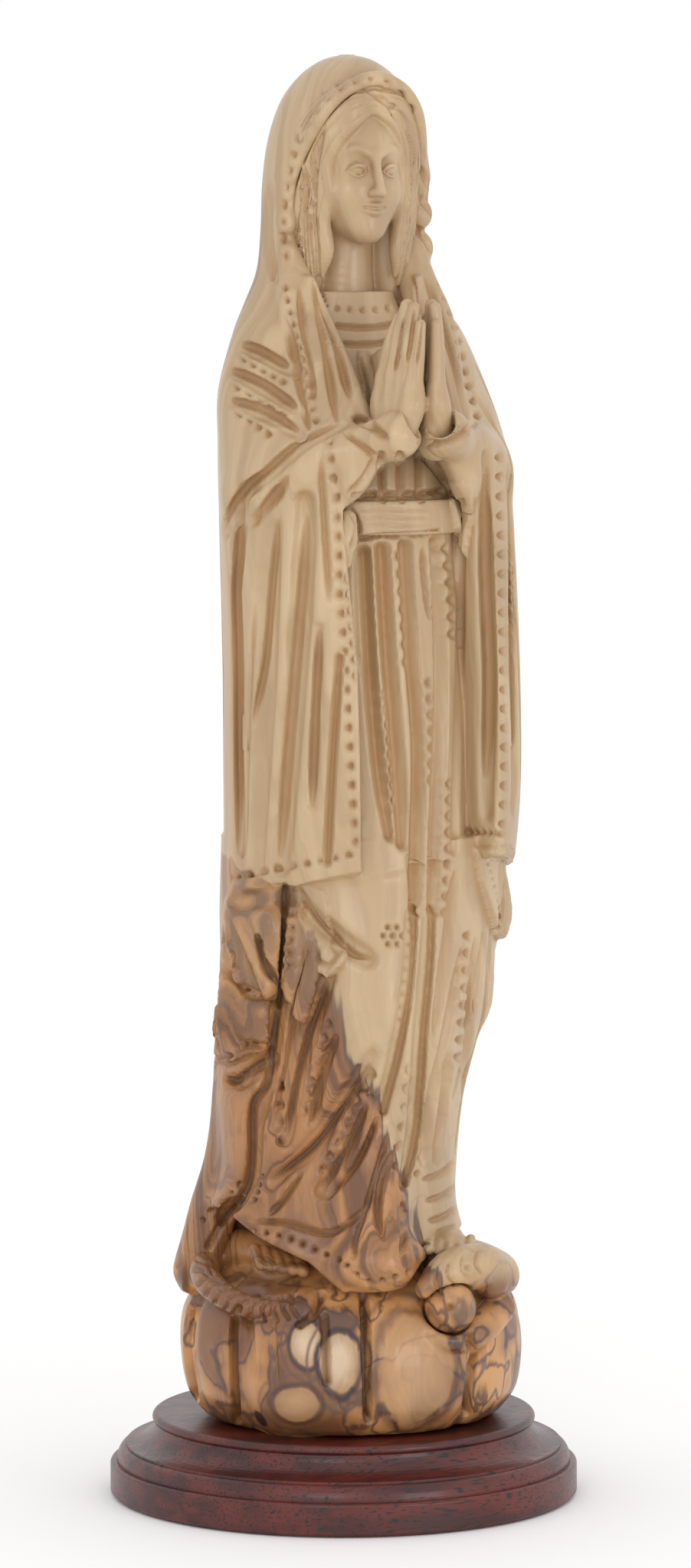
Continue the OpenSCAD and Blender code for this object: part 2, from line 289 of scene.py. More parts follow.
cloak_mass, robe_mass, gown_mass = stack(CLOAK), stack(LOWER_ROBE), stack(GOWN)
SLOT_HEIGHTS = (136, 153, 200, 230, 246, 258, 274, 286, 296)
SLOT_LEFT = (-13, -13.8, -15, -17, -17, -11, -11.5, -12.5, -15)
SLOT_RIGHT = (17, 17, 16.5, 16.5, 17, 12, 11.5, 12.5, 15)


def skirt_opening(x, y, z):
    """The slot in front, between the two hanging sleeves and their forearms, where the gown shows."""
    left = np.interp(z, SLOT_HEIGHTS, SLOT_LEFT)
    right = np.interp(z, SLOT_HEIGHTS, SLOT_RIGHT)
    right = right + 0.35 * np.maximum(-18 - y, 0) * np.clip((240 - z) / 10, 0, 1)
    front = np.where(z > 268, y + 4 - 0.25 * (z - 268), y + 6)
    return np.maximum(np.maximum(left - x, x - right), np.maximum(front, z - 298)).astype(np.float32)


body.add(cloak_mass, body_low, body_high, 0)
body.cut(skirt_opening, (-25, -50, 130), (25, 6, 300), 1.5)
body.add(gown_mass, (-28, -40, 145), (28, 20, 290), 0.8)
body.cut(lambda x, y, z: z - np.where(y < 6, hem_height(x, y), 130 + 0 * y), body_low, (50, 50, 175), 0)
body.add(robe_mass, (-50, -50, 45), (50, 50, 160), 1.5)
print("sawn to shape:", body.distance.shape, "cells")

# %% Raise the forearms, cuffs, sash and the veil's front folds
def both_sides(route):
    """A route and its mirror image."""
    yield route
    yield [(-x, y, z) for x, y, z in route]


for route in both_sides([(-29, -10, 238), (-25.5, -19, 243), (-19.5, -26, 247), (-14, -30.5, 249)]):
    body.rope(route, (6.5, 7.5, 7, 6), 4)
for route in both_sides([(-15, -30, 248.5), (-10.5, -34.5, 250.5), (-6.5, -38, 252.5)]):
    body.rope(route, (4.6, 5, 5.8), 1.5)
    body.rope([route[2], (route[2][0] * 0.6, -40.5, 254.6)], (2.0, 3.2), 1.0, cut=True)
for route in both_sides([(-12.5, -33, 248), (-15, -32, 242), (-17.5, -29, 236)]):
    body.rope(route, (4.6, 4.0, 1.6), 1.5)
sash = stack([(229, 0.5, -12, 20.5, 18.8), (229.6, 0.5, -12, 21.4, 19.6), (236.4, 0.5, -12, 21.4, 19.6),
              (237, 0.5, -12, 20.5, 18.8)])
body.add(sash, (-17, -40, 227), (17, -5, 239), 0.2)
body.rope([(-14.5, -29, 233), (-15.5, -29.5, 228), (-15, -29, 223)], (2.2, 3, 1.6), 0.6)
web = [(0, -20, 262), (0, -26, 262), (0, -33, 266), (0, -35, 268)]
body.rope(web, (7, 6, 4.5, 2.5), 3, flat=(1.8, 1, 0.7))
print("forearms, cuffs and sash raised")

# %% Hollow the hood and roll its rim
RIM = [(-16.6, -3.5, 288), (-16.4, -2.5, 296), (-17, -4.6, 308), (-16.2, -7.3, 315), (-14.5, -10.5, 321),
       (-11.8, -13.3, 327),
       (-7, -15.2, 331.8), (0, -16.0, 334.2)]
rim_route = RIM + [(-x, y, z) for x, y, z in RIM[-2::-1]]
rim_table = np.array(RIM)


def before_the_face(x, y, z):
    """Everything in front of the slanted opening of the hood."""
    edge = np.interp(z, rim_table[:, 2], rim_table[:, 1])
    return np.maximum(y - edge.astype(np.float32), np.maximum(287 - z - 0.2 * y, z - 335))


body.cut(before_the_face, (-25, -30, 284), (25, 20, 337), 1.5)
body.cut(ball((0, -5, 311), (15.2, 13, 21.5)), (-20, -25, 286), (20, 12, 336), 1.5)
body.rope(rim_route, 1.7, 0.8)
for x, y, z, r in ((-17.6, -4.5, 301, 2.4), (-17.2, -5.0, 293, 2.6), (18.0, -5.0, 303, 2.6),
                   (18.6, -4.0, 295, 2.8), (17.2, -6, 311, 2.2)):
    body.add(ball((x, y, z), (r, r * 0.9, r * 1.3)), *around((x, y, z), r, 5), 1.6)
for offset, radius in ((0, 3.0), (3.6, 2.6), (6.8, 2.3)):
    for route in both_sides([
        (-17.0 + offset * 0.15, -2, 297), (-18.0 + offset * 0.6, -6.5, 287),
        (-19.5 + offset, -12 - offset * 0.2, 278),
        (-18 + offset, -18.5 - offset * 0.25, 268), (-16 + offset, -24 - offset * 0.3, 257),
        (-15 + offset, -27 - offset * 0.3, 251),
    ]):
        body.rope(route, (2.2, radius, radius, radius, radius, radius), 1.2)
print("hood hollowed for the head")

# %% [markdown]
# ## The lower robe
#
# Under the sleeves the cloth falls in steps: swallow-tailed folds on the figure's right, a smooth thigh
# pushed forward by the bent knee, and a hem that lifts at the sides over the bare feet. Each fold is a rope
# of wood added to the mass, or a hollow cut from it, before any line is carved.

# %% Shape the knee, the folds and the hem
body.add(ball((-3, -24, 120), (15, 13, 34)), *around((-3, -24, 120), (15, 13, 34), 14), 8)
for route, radii in (
    ([(-27, -15, 146), (-25, -19, 136), (-22, -23, 124)], (6, 5, 2.2)),
    ([(-30, -8, 140), (-29, -13, 126), (-25, -18, 118)], (5.5, 5, 3)),
    ([(-29.5, -5, 126), (-30, -8, 114), (-28, -12, 105)], (4, 4.6, 3)),
    ([(-27.5, 6, 104), (-27.5, 8, 84), (-29.6, 12, 66), (-33.4, 14, 54)], (3.2, 3.4, 4, 4)),
    ([(28, -14, 150), (29.5, -14, 138), (28, -14, 130)], (6, 5.5, 3)),
    ([(26, -14, 130), (26, -15, 118), (24, -16, 112)], (5.5, 5, 2.5)),
):
    body.rope(route, radii, 2)
HEM_DROP = ((-60, 72), (-35, 72), (-26, 70), (-20, 66), (-8, 60.5), (-3, 56), (0, 53.5), (14, 53.5),
            (18, 60), (26, 64), (60, 64))


def under_the_hem(x, y, z):
    """The space under the robe's hem, which lifts beside each foot; the cloak behind reaches the mound."""
    across = x * np.float32(main_board.across[0]) + y * np.float32(main_board.across[1])
    line = np.interp(across, [p[0] for p in HEM_DROP], [p[1] for p in HEM_DROP])
    return (z - np.where(y < 10, line, 50)).astype(np.float32)


place = main_board.place
body.rope([place(-10, 62, 25), place(-4, 57.5, 29), place(3, 54, 33), place(10, 53.5, 33),
           place(15.5, 55.5, 29)],
          (3, 4.4, 5.4, 5.4, 4.2), 4)
body.rope([place(5, 88, 26), place(7, 72, 28), place(8, 58, 31)], (5, 6, 6.5), 6)
body.cut(under_the_hem, body_low, (50, 50, 80), 1.0)
body.rope([place(-25, 94, 6), place(-27, 78, 7), place(-31, 66, 7), place(-33.4, 52, 5)],
          (3, 4.6, 5.2, 4.6), 5)
body.rope([place(-21, 104, -7), place(-24, 80, -9), place(-27, 64, -10), place(-30, 50, -10)],
          (2, 4.6, 5.6, 5.6), 8)
for radius, rise, *route in (
    (3.6, 1.6, (-17, 236), (-18.6, 215), (-19.6, 190), (-21.5, 149)),
    (3.0, 0.9, (-9, 236), (-10.3, 212), (-12.4, 185), (-15, 149)),
    (2.2, 0.5, (-24.0, 238), (-25.4, 215), (-25.0, 185), (-24.8, 153)),
    (1.4, 0.6, (-5.6, 206), (-6.6, 186), (-7.4, 164)),
    (3.6, 1.6, (-25, 140.5), (-18, 141.5), (-12, 142.5)),
    (2.8, 0.7, (-13, 143), (-7.5, 137.5), (-2, 132.4), (6, 127.4)),
    (2.8, 0.6, (-14.4, 141), (-15.4, 121), (-18.4, 100), (-21.6, 88), (-22.4, 76), (-28, 66)),
    (2.2, 0.7, (-3.6, 123), (-8.4, 110), (-11.4, 98), (-13.8, 84)),
    (2.0, 0.7, (-9, 129), (-11.6, 116), (-14.2, 102), (-16.8, 87)),
    (2.8, 0.9, (6.8, 104), (3.4, 97.6), (-0.4, 92), (-7.3, 83), (-17.6, 74)),
    (2.0, 0.7, (5.7, 93.4), (1.6, 84), (-5.2, 72)),
    (2.4, 0.9, (16.4, 138), (16.0, 122), (13.2, 106), (9.4, 91)),
    (2.6, 1.0, (20.8, 138), (19, 109), (17.4, 88), (14.8, 74)),
    (2.4, 0.8, (-27.6, 98.6), (-25, 98.4), (-22.4, 100.0), (-17, 103.6)),
    (2.2, 0.8, (-26.5, 128), (-25, 121.6), (-20.6, 117.6), (-15, 118.6)),
    (2.2, 0.8, (33.5, 246), (32.8, 222), (33.8, 196), (33.4, 162)),
    (1.8, 0.5, (39.4, 240), (39.8, 215), (40.4, 180)),
    (1.8, 0.6, (-0.6, 253.6), (-8, 250.4), (-18, 242), (-24, 236.6), (-28, 228)),
    (1.8, 0.4, (-23.5, 272), (-18, 269.6), (-12.6, 266.6)),
    (1.8, 0.4, (-26, 266), (-19, 262.4), (-11.4, 257.4)),
    (1.7, 0.4, (-26, 259), (-18, 256), (-10.8, 252)),
):
    body.fold(main_board, radius, rise, *route)
print("lower robe shaped")

# %% [markdown]
# ## The mound, the serpent and the feet
#
# The mound is a bulging cushion of lobes, parted by upright gouge cuts. The serpent lies on its edge with
# its tail in front and comes round to hold an apple by the other foot. The toes of both feet stand on the
# mound.

# %% Shape the mound, the serpent and the feet
MOUND = [
    (20, 0.5, -3.5, 33.5, 32), (22, 0.5, -3.5, 36, 34.5), (27, 0.5, -3.5, 39.5, 37.5),
    (36, 0.5, -3, 41, 38.5),
    (44, 0.5, -2.5, 40.5, 37.5), (49, 0.5, -2, 38, 35), (53, 0, -1, 33, 31), (56, 0, -1, 28, 27),
    (62, 0, -1, 20, 20),
]
mound = Block((-44, -46, 18.5), (46, 40, 66), 0.45)
mound_low, mound_high = (-50, -50, 10), (50, 50, 70)
mound.add(stack(MOUND), mound_low, mound_high, 0)
mound.cut(lambda x, y, z: z - 19.5 + 0 * x, mound_low, (50, 50, 21), 0)
for x, y, z, r in ((-24, -20, 36, 18), (-30, 2, 34, 14), (24, -16, 36, 18), (30, 8, 34, 14), (-8, 22, 34, 18),
                   (12, 22, 34, 18)):
    mound.add(ball((x, y, z), (r * 0.62, r * 0.72, r * 0.98)), (x - r, y - r, 19.5), (x + r, y + r, z + r), 3)
for route in (
    [(-36.5, 3, 50), (-41, 1, 40), (-41.5, 0, 28), (-37, 0, 18)],
    [(-32.5, -14.5, 51), (-38, -18.5, 42), (-38.5, -18.5, 30), (-34, -16, 17)],
    [(-12, -34.5, 50), (-13.5, -41, 40), (-13, -41.5, 29), (-11.5, -37, 17)],
    [(14.5, -32, 44), (15.5, -38.5, 37), (14.5, -39, 28), (13, -35, 17)],
    [(31, -17, 50), (37.5, -20, 41), (37.5, -20.5, 29), (33, -18, 17)],
    [(35.5, 4, 50), (42, 4, 40), (42, 4, 28), (37, 4, 17)],
    [(27, 25, 50), (30.5, 29, 40), (30.5, 29, 28), (27, 26, 17)],
    [(3, 33, 50), (3.5, 36.5, 40), (3.5, 36.5, 28), (3, 33, 17)],
    [(-23, 26, 50), (-28, 29.5, 40), (-28, 29.5, 28), (-24, 26, 17)],
):
    mound.rope(route, (1.6, 2.2, 2.2, 2.0), 3.5, cut=True, per_span=6)
SERPENT = [
    (-12, 44.5, 35.5), (-17, 43.8, 35), (-22.4, 44.2, 33), (-27.6, 46.4, 29), (-31.6, 49.6, 22),
    (-33.0, 53, 13),
    (-30.6, 56.6, 4), (-22, 58, -8), (-6, 58, -18), (12, 58, -18), (28, 57, -8), (36, 54, 4),
    (37.5, 51.5, 14),
    (35, 50.5, 22),
]
mound.rope([place(*p) for p in SERPENT], (0.7, 1.9, 2.6, 3.0, 3.3, 3.5, 3.7, 4, 4, 4, 4, 4.1, 4.2, 4.2),
           0.2, per_span=8)
mound.rope([place(37, 52.5, 18), place(32, 54, 25), place(25, 52.6, 31), place(19.4, 48.6, 34)],
           (4.4, 5.4, 4.8, 2.4), 1.0)
mound.rope([place(37, 44, 20), place(32, 38.5, 27), place(25, 36, 32), place(20, 38.4, 34)],
           (3.8, 3.8, 3.0, 1.6), 1.0)
APPLE, APPLE_RADIUS = place(25.4, 44.2, 32), 6.0
mound.cut(ball(APPLE, APPLE_RADIUS + 0.6), *around(APPLE, APPLE_RADIUS), 0.3)
mound.add(ball(APPLE, APPLE_RADIUS), *around(APPLE, APPLE_RADIUS), 0.2)
mound.rope([place(-24, 58, 6), place(-18, 56.5, 14), place(-14.4, 54.4, 21)], (5, 5, 4.6), 2)
mound.rope([place(22, 62, 10), place(24, 60, 16), place(25.6, 58.6, 20)], (5, 4.6, 3.8), 2)
for number in range(5):
    grow = 1.2 + 0.1 * number
    mound.rope([place(-21.0 + 2.3 * number, 58.4 - 0.5 * number, 22),
                place(-19.6 + 2.5 * number, 54.0 - 0.3 * number, 27.5 + 0.4 * number)],
               (grow, grow), 0.1)
    mound.rope([place(20.6 + 2.4 * number, 60.6, 19), place(20.0 + 2.5 * number, 57.8, 26 - 0.4 * number)],
               (1.45 - 0.08 * number, 1.3 - 0.06 * number), 0.1)
print("mound shaped:", mound.distance.shape, "cells")

# %% [markdown]
# ## The hands
#
# The hands are carved as a wedge with the fingers pressed together, and the palms' outer sides are left
# smooth. A finer grid is used for them, because a finger is only three or four millimetres thick.

# %% Shape the pressed hands
hands = Block((-16, -45, 246), (16, -24, 286), 0.25)
FINGERS = (
    ((-5.6, -31.0, 265), (-4.8, -32.6, 273.0), (-3.6, -34.4, 279.2), 2.0),
    ((-4.8, -34.2, 266), (-4.2, -35.6, 275.0), (-3.2, -36.8, 282.0), 2.05),
    ((-3.9, -37.2, 265), (-3.5, -38.4, 274.0), (-2.7, -39.3, 281.4), 1.95),
    ((-2.9, -39.8, 262.5), (-2.6, -40.6, 270.0), (-2.1, -41.2, 277.6), 1.8),
)
wrist = (-5.4, -35.0, 250.5)
for side in (1, -1):
    for base, middle, tip, radius in FINGERS:
        route = [(side * x, y, z) for x, y, z in (base, middle, tip)]
        hands.rope(route, (radius * 1.08, radius, radius * 0.72), 0.1, per_span=8)
    for base, _, _, radius in FINGERS:
        route = [(side * x, y, z) for x, y, z in (wrist, (base[0] - 0.5, base[1] + 0.2, 258.5), base)]
        hands.rope(route, (3.6, 3.1, 2.1), 1.6)
    thumb = [(-5.4, -32, 256), (-5.6, -29.4, 263), (-4.2, -29.2, 270.5)]
    hands.rope([(side * x, y, z) for x, y, z in thumb], (2.4, 1.9, 1.2), 0.6)
print("hands shaped:", hands.distance.shape, "cells")

# %% [markdown]
# ## The head
#
# The face is a plain one on the proportions of a drawing manual: the hairline, brow, base of the nose and
# chin are evenly spaced, the face is five eyes wide, and the mouth lies a third of the way from nose to
# chin. It is calm, with lowered lids. Here z = 0 is halfway down the head and -y is forward.

# %% Shape the head
head = Block((-16, -19, -31), (16, 15, 21), 0.25)
head_low, head_high = (-20, -25, -35), (20, 20, 25)
head.add(ball((0, 0.5, 5), (11.0, 13, 13.2)), head_low, head_high, 0)
head.add(ball((0, -3.4, -2.5), (9.4, 9.6, 13.2)), head_low, head_high, 2)
head.add(ball((0, -4.4, -7.2), (8.3, 8.1, 8.8)), head_low, head_high, 2)
head.add(ball((0, -10.2, -13.0), (3.0, 2.5, 2.6)), head_low, head_high, 4)
head.rope([(0, 1.5, -10), (0, 1.0, -20), (0, 1.5, -30)], (6.4, 6.2, 7.4), 2)
for x in (-1, 1):
    head.add(ball((x * 4.9, -8.2, -4.2), (3.5, 3.2, 3.8)), head_low, head_high, 3)
    head.cut(ball((x * 4.3, -14.0, 1.9), (3.6, 2.6, 2.3)), head_low, head_high, 2.8)
    head.rope([(x * 1.9, -12.2, 4.9), (x * 4.0, -11.6, 6.1), (x * 6.2, -10.2, 5.7), (x * 7.9, -8.2, 4.0)],
              (0.2, 0.25, 0.25, 0.2), 1.8, per_span=8)
    head.add(ball((x * 4.15, -10.2, 1.3), (2.2, 2.05, 1.9)), head_low, head_high, 0.3)
    upper = [(x * 2.1, -11.9, 0.9), (x * 3.2, -12.35, 1.9), (x * 4.4, -12.3, 2.2), (x * 5.6, -11.5, 1.75),
             (x * 6.5, -10.4, 0.8)]
    lower = [(x * 2.1, -11.9, 0.8), (x * 3.3, -12.1, -0.1), (x * 4.6, -11.9, -0.4), (x * 5.8, -11.1, 0.0),
             (x * 6.5, -10.4, 0.7)]
    head.rope(upper, (0.3, 0.5, 0.55, 0.5, 0.3), 0.2, per_span=8)
    head.rope(lower, (0.22, 0.3, 0.32, 0.3, 0.2), 0.3, per_span=8)
    head.add(ball((x * 1.35, -13.6, -4.1), (1.0, 1.2, 0.95)), head_low, head_high, 0.7)
    head.rope([(x * 2.9, -11.9, -7.5), (x * 1.2, -13.25, -6.85), (0, -13.35, -7.05)], (0.22, 0.42, 0.4),
              1.0, per_span=8)
    head.rope([(x * 2.6, -12.0, -7.9), (x * 1.1, -13.1, -8.5), (0, -13.2, -8.5)], (0.22, 0.48, 0.56), 1.1,
              per_span=8)
head.rope([(0, -12.0, 5.2), (0, -13.3, 1.0), (0, -15.0, -2.8), (0, -15.1, -3.7)], (0.9, 0.95, 1.1, 1.15),
          1.5, per_span=8)
head.rope([(-2.8, -12.5, -7.5), (-1.4, -13.55, -7.6), (0, -13.8, -7.75), (1.4, -13.55, -7.6),
           (2.8, -12.5, -7.5)],
          (0.25, 0.36, 0.38, 0.36, 0.25), 0.3, cut=True, per_span=8)
for x in (-1, 1):
    head.rope([(x * 0.75, -14.6, -5.1), (x * 0.9, -13.6, -4.9)], (0.3, 0.3), 0.2, cut=True)
    head.rope([(x * 2.2, -12.7, 0.5), (x * 2.0, -12.3, 0.7)], (0.2, 0.2), 0.3, cut=True)
HAIR = (
    ((0.6, -10.0, 14.6), (5.0, -10.6, 12.6), (8.9, -8.6, 8.0), (10.6, -6.8, 2.0), (9.9, -7.2, -4.0),
     (10.6, -6.2, -11.0),
     (9.4, -7.0, -18.0), (9.6, -6.0, -24.0)),
    ((0.6, -10.2, 16.6), (5.6, -10.4, 15.0), (10.0, -7.6, 10.2), (12.2, -5.6, 3.4), (11.4, -5.8, -4.0),
     (12.0, -4.8, -11.0),
     (11.0, -5.4, -19.0), (11.6, -4.4, -26.0)),
    ((0.6, -9.8, 18.6), (6.2, -9.6, 17.0), (11.0, -6.6, 12.0), (13.6, -4.2, 4.4), (13.0, -4.0, -4.0),
     (13.4, -3.4, -12.0),
     (12.6, -3.8, -20.0), (13.0, -3.0, -26.0)),
    ((0.6, -8.6, 20.2), (6.8, -8.0, 18.8), (12.0, -4.8, 13.4), (15.0, -2.4, 5.0), (14.6, -2.0, -4.0),
     (14.8, -1.6, -12.0),
     (14.0, -1.8, -19.0), (14.0, -1.4, -24.0)),
)
for x in (-1, 1):
    head.rope([(x * 9.6, -1, -6), (x * 10.2, -0.5, -18), (x * 11.0, 0, -29)], (3.6, 4.0, 3.6), 1.5)
    for number, lock in enumerate(HAIR):
        route = [(x * a, b, c) for a, b, c in lock]
        head.rope(route, (0.8, 1.8, 2.3, 2.4, 2.4, 2.3, 1.9, 0.5), 1.2, per_span=6)
        for depth in (-0.9, 0.0, 0.9):
            lift = [(x * (a + 1.75), b - 1.5 + depth * 0.9, c + depth) for a, b, c in lock]
            head.rope(lift, (0.2, 0.3, 0.32, 0.32, 0.32, 0.32, 0.26, 0.2), 0.25, cut=True, per_span=6)
print("head shaped:", head.distance.shape, "cells")

# %% [markdown]
# ## The drawing of the gouge cuts
#
# The masses are now meshed, and the surface is cut. A drawing holds how deep each place on a board is to be
# cut, in millimetres. A groove is a long cut that tapers at its ends and can lean, so that one wall is
# steeper, like the edge of a fold. A notch is the half-moon that a gouge leaves when it's pushed straight
# in. A dot is the mark of a small round punch.

# %% The drawing and its three marks
class Drawing:
    """Depths of cut, in millimetres, over an upright drawing board."""

    CELL = 0.2
    LOW, HIGH = np.array((-56.0, 12.0)), np.array((56.0, 346.0))

    def __init__(self, board):
        self.board = board
        self.low = self.LOW
        self.depth = np.zeros(((self.HIGH - self.LOW) / self.CELL).round().astype(int), np.float32)
        self.raised = np.zeros_like(self.depth)

    def flap(self, height, start, end, *outline):
        """A flap of cloth over the surface, rising from nothing at start to its full height at end."""
        corners = np.array(outline, float)
        where, u, z = self.patch(corners.min(axis=0), corners.max(axis=0))
        inside = np.zeros(self.depth[where].shape, bool)
        for (au, az), (bu, bz) in zip(corners, np.roll(corners, -1, axis=0)):
            crosses = (az > z) != (bz > z)
            inside ^= crosses & (u < au + (z - az) * (bu - au) / (bz - az if bz != az else 1e-9))
        run = np.array(end, float) - start
        share = np.clip(((u - start[0]) * run[0] + (z - start[1]) * run[1]) / (run @ run), 0, 1)
        self.raised[where] = np.maximum(self.raised[where], inside * height * share**0.7)

    def patch(self, low, high):
        """The cells between two corners, and where they are."""
        first = np.maximum(((np.array(low) - self.low) / self.CELL).astype(int), 0)
        last = np.minimum(((np.array(high) - self.low) / self.CELL).astype(int) + 2, self.depth.shape)
        u = self.low[0] + self.CELL * np.arange(first[0], last[0])[:, None]
        z = self.low[1] + self.CELL * np.arange(first[1], last[1])[None, :]
        return (slice(first[0], last[0]), slice(first[1], last[1])), u, z

    def groove(self, width, depth, *route, lean=0.0, open_ends=False):
        """A tapering groove. A positive lean puts its steep wall on the right of its direction of travel."""
        path = smooth_path(route, 8)
        steps = np.linalg.norm(np.diff(path, axis=0), axis=1)
        along = np.concatenate(([0], np.cumsum(steps))) / steps.sum()
        for a, b, t0, t1 in zip(path, path[1:], along, along[1:]):
            where, u, z = self.patch(np.minimum(a, b) - width, np.maximum(a, b) + width)
            v = (b - a) / max(np.linalg.norm(b - a), 1e-9)
            run = np.clip((u - a[0]) * v[0] + (z - a[1]) * v[1], 0, np.linalg.norm(b - a))
            off_u, off_z = u - a[0] - v[0] * run, z - a[1] - v[1] * run
            side = np.sign(v[0] * off_z - v[1] * off_u)
            t = t0 + (t1 - t0) * run / max(np.linalg.norm(b - a), 1e-9)
            fade = 1.0 if open_ends else np.clip(np.minimum(t, 1 - t) * 6, 0.0, 1) ** 0.6
            half = width / 2 * (1 + lean * side) * (0.35 + 0.65 * fade)
            r = np.hypot(off_u, off_z) / half
            self.depth[where] = np.maximum(self.depth[where], depth * fade * np.clip(1 - r * r, 0, 1))

    def mark(self, place, size, depth, turn=0.0, half_moon=True):
        """One half-moon notch, its straight wall on the right, turned anticlockwise by so many degrees."""
        where, u, z = self.patch(np.array(place) - 2 * size, np.array(place) + 2 * size)
        c, s = math.cos(math.radians(turn)), math.sin(math.radians(turn))
        a, b = (u - place[0]) * c + (z - place[1]) * s, (z - place[1]) * c - (u - place[0]) * s
        if half_moon:
            r = np.hypot(a - 0.45 * size, b / 0.62) / size
            cut = np.clip(1.15 - r, 0, 1) * np.clip((0.5 * size - a) / (0.18 * size), 0, 1)
        else:
            cut = np.clip(1.6 * (1 - np.hypot(a, b) / size), 0, 1)
        self.depth[where] += depth * cut

    def notches(self, count, *route, size=2.1, depth=1.7, turn=0.0):
        for place in self.spaced(count, route):
            self.mark(place, size, depth, turn)

    def dots(self, count, *route, size=0.95, depth=1.3):
        for place in self.spaced(count, route):
            self.mark(place, size, depth, half_moon=False)

    @staticmethod
    def spaced(count, route):
        """So many even places along a smooth route, or the route's only place."""
        if len(route) == 1:
            return np.array(route, float)
        path = smooth_path(route, 8)
        along = np.concatenate(([0], np.cumsum(np.linalg.norm(np.diff(path, axis=0), axis=1))))
        at = np.linspace(0, along[-1], count)
        return np.column_stack([np.interp(at, along, path[:, i]) for i in (0, 1)])

    def sample(self, across, up):
        """The depth of cut at these places on the board."""
        at = [(across - self.low[0]) / self.CELL, (up - self.low[1]) / self.CELL]
        i, j = (np.clip(v.astype(int), 0, n - 2) for v, n in zip(at, self.depth.shape))
        f, g = np.clip(at[0] - i, 0, 1), np.clip(at[1] - j, 0, 1)
        d = self.depth - self.raised
        return (d[i, j] * (1 - f) + d[i + 1, j] * f) * (1 - g) + (d[i, j + 1] * (1 - f) + d[i + 1,
            j + 1] * f) * g


class Surface:
    """A block's surface while it is cut: points in millimetres, four-sided faces and the depth cut so far."""

    SIGHT_CELL = 0.5
    SIGHT_HALF_WIDTH, SIGHT_HEIGHT = 60, 360
    GRAZING, GRAZING_RANGE = 0.05, 0.3
    SMOOTHING = 0.25

    def __init__(self, block):
        self.points, self.quads = block.mesh()
        self.cut = np.zeros(len(self.points), np.float32)

    def normals(self):
        """The surface's direction at each point."""
        corner = [self.points[self.quads[:, k]] for k in range(4)]
        face = np.cross(corner[2] - corner[0], corner[3] - corner[1])
        total = np.zeros_like(self.points, dtype=float)
        for k in range(4):
            for axis in range(3):
                total[:, axis] += np.bincount(self.quads[:, k], face[:, axis], len(self.points))
        return total / np.maximum(np.linalg.norm(total, axis=1, keepdims=True), 1e-9)

    def neighbours_mean(self, values):
        """Each point's mean over the points it shares an edge with."""
        total, count = np.zeros(len(self.points)), np.zeros(len(self.points))
        for k in range(4):
            a, b = self.quads[:, k], self.quads[:, (k + 1) % 4]
            total += np.bincount(a, values[b], len(self.points)) + np.bincount(b, values[a], len(self.points))
            count += np.bincount(a, minlength=len(self.points)) + np.bincount(b, minlength=len(self.points))
        return total / np.maximum(count, 1)

    def carve(self, drawing, reach=4.0):
        """Cut the drawing into the parts of the surface that its board can see."""
        board = drawing.board
        across, up, ahead = board.seen(self.points)
        normals = self.normals()
        facing = normals[:, :2] @ board.towards
        columns = round(2 * self.SIGHT_HALF_WIDTH / self.SIGHT_CELL)
        rows = round(self.SIGHT_HEIGHT / self.SIGHT_CELL)
        foremost = np.full((columns, rows), -np.inf)
        i = np.clip(((across + self.SIGHT_HALF_WIDTH) / self.SIGHT_CELL).astype(int), 0, columns - 1)
        j = np.clip((up / self.SIGHT_CELL).astype(int), 0, rows - 1)
        np.maximum.at(foremost, (i, j), ahead)
        seen = ahead > foremost[i, j] - reach
        depth = drawing.sample(across, up) * np.clip((facing - self.GRAZING) / self.GRAZING_RANGE, 0, 1)
        depth *= seen
        depth = (1 - self.SMOOTHING) * depth + self.SMOOTHING * self.neighbours_mean(depth)
        self.points = self.points - normals * depth[:, None]
        self.cut = (self.cut + depth).astype(np.float32)


front = Drawing(main_board)
print("a drawing of", front.depth.shape, "cells")

# %% [markdown]
# ## The folds and their borders, seen from the main viewpoint
#
# All places on the board are in millimetres: across from the statue's axis, and up from the table.

# %% Draw the veil, the shoulders and the collar
g, n, d = front.groove, front.notches, front.dots
g(2.2, 1.4, (-24, 272.5), (-19, 270.5), (-13, 267), lean=0.3)
g(2.2, 1.4, (-26.5, 266.5), (-19, 263), (-11, 257.5), lean=0.3)
g(2.0, 1.3, (-26.5, 259.5), (-18, 256.5), (-10.5, 252), lean=0.3)
n(5, (-24, 269), (-14.5, 263.8), turn=60)
n(5, (-25.5, 262.3), (-14.5, 256.2), turn=60)
n(4, (-25, 256), (-18, 251.5), turn=60)
g(2.2, 1.6, (-0.5, 254.2), (-7.8, 250.8), (-11.6, 248.3), (-18, 242.5), (-22, 239.2), (-26, 233.8),
  (-28.5, 228), lean=-0.3)
g(2.4, 1.8, (-14, 279), (-11.5, 268), (-9.4, 258.6), (-8.3, 252), lean=0.2)
g(2.0, 1.6, (-10.4, 286), (-9.4, 277), (-8.3, 269.6), (-6.8, 258.5))
g(2.2, 1.7, (-7.3, 288.5), (-4.9, 276), (-3.1, 264.3), (-1.3, 253.5))
n(12, (-13.6, 286), (-12.2, 279.4), (-10.2, 271.6), (-8.3, 263), (-6.4, 255), size=1.7, turn=195)
g(2.2, 2.0, (-5.8, 285.5), (-3.2, 278), (-1.1, 272), (1.9, 259.7), lean=-0.4)
for shift in (0, 3.4):
    g(1.7, 1.4, (15.5 + shift, 289), (18.8 + shift, 280), (22.6 + shift, 268), (25.8 + shift, 254))
n(10, (22.6, 287), (26, 277), (28.5, 266), (31.3, 256), size=1.6, turn=-15)
g(1.6, 1.3, (-5.3, 277.5), (2, 276.4), (9, 276.6), (14.5, 278), open_ends=True)
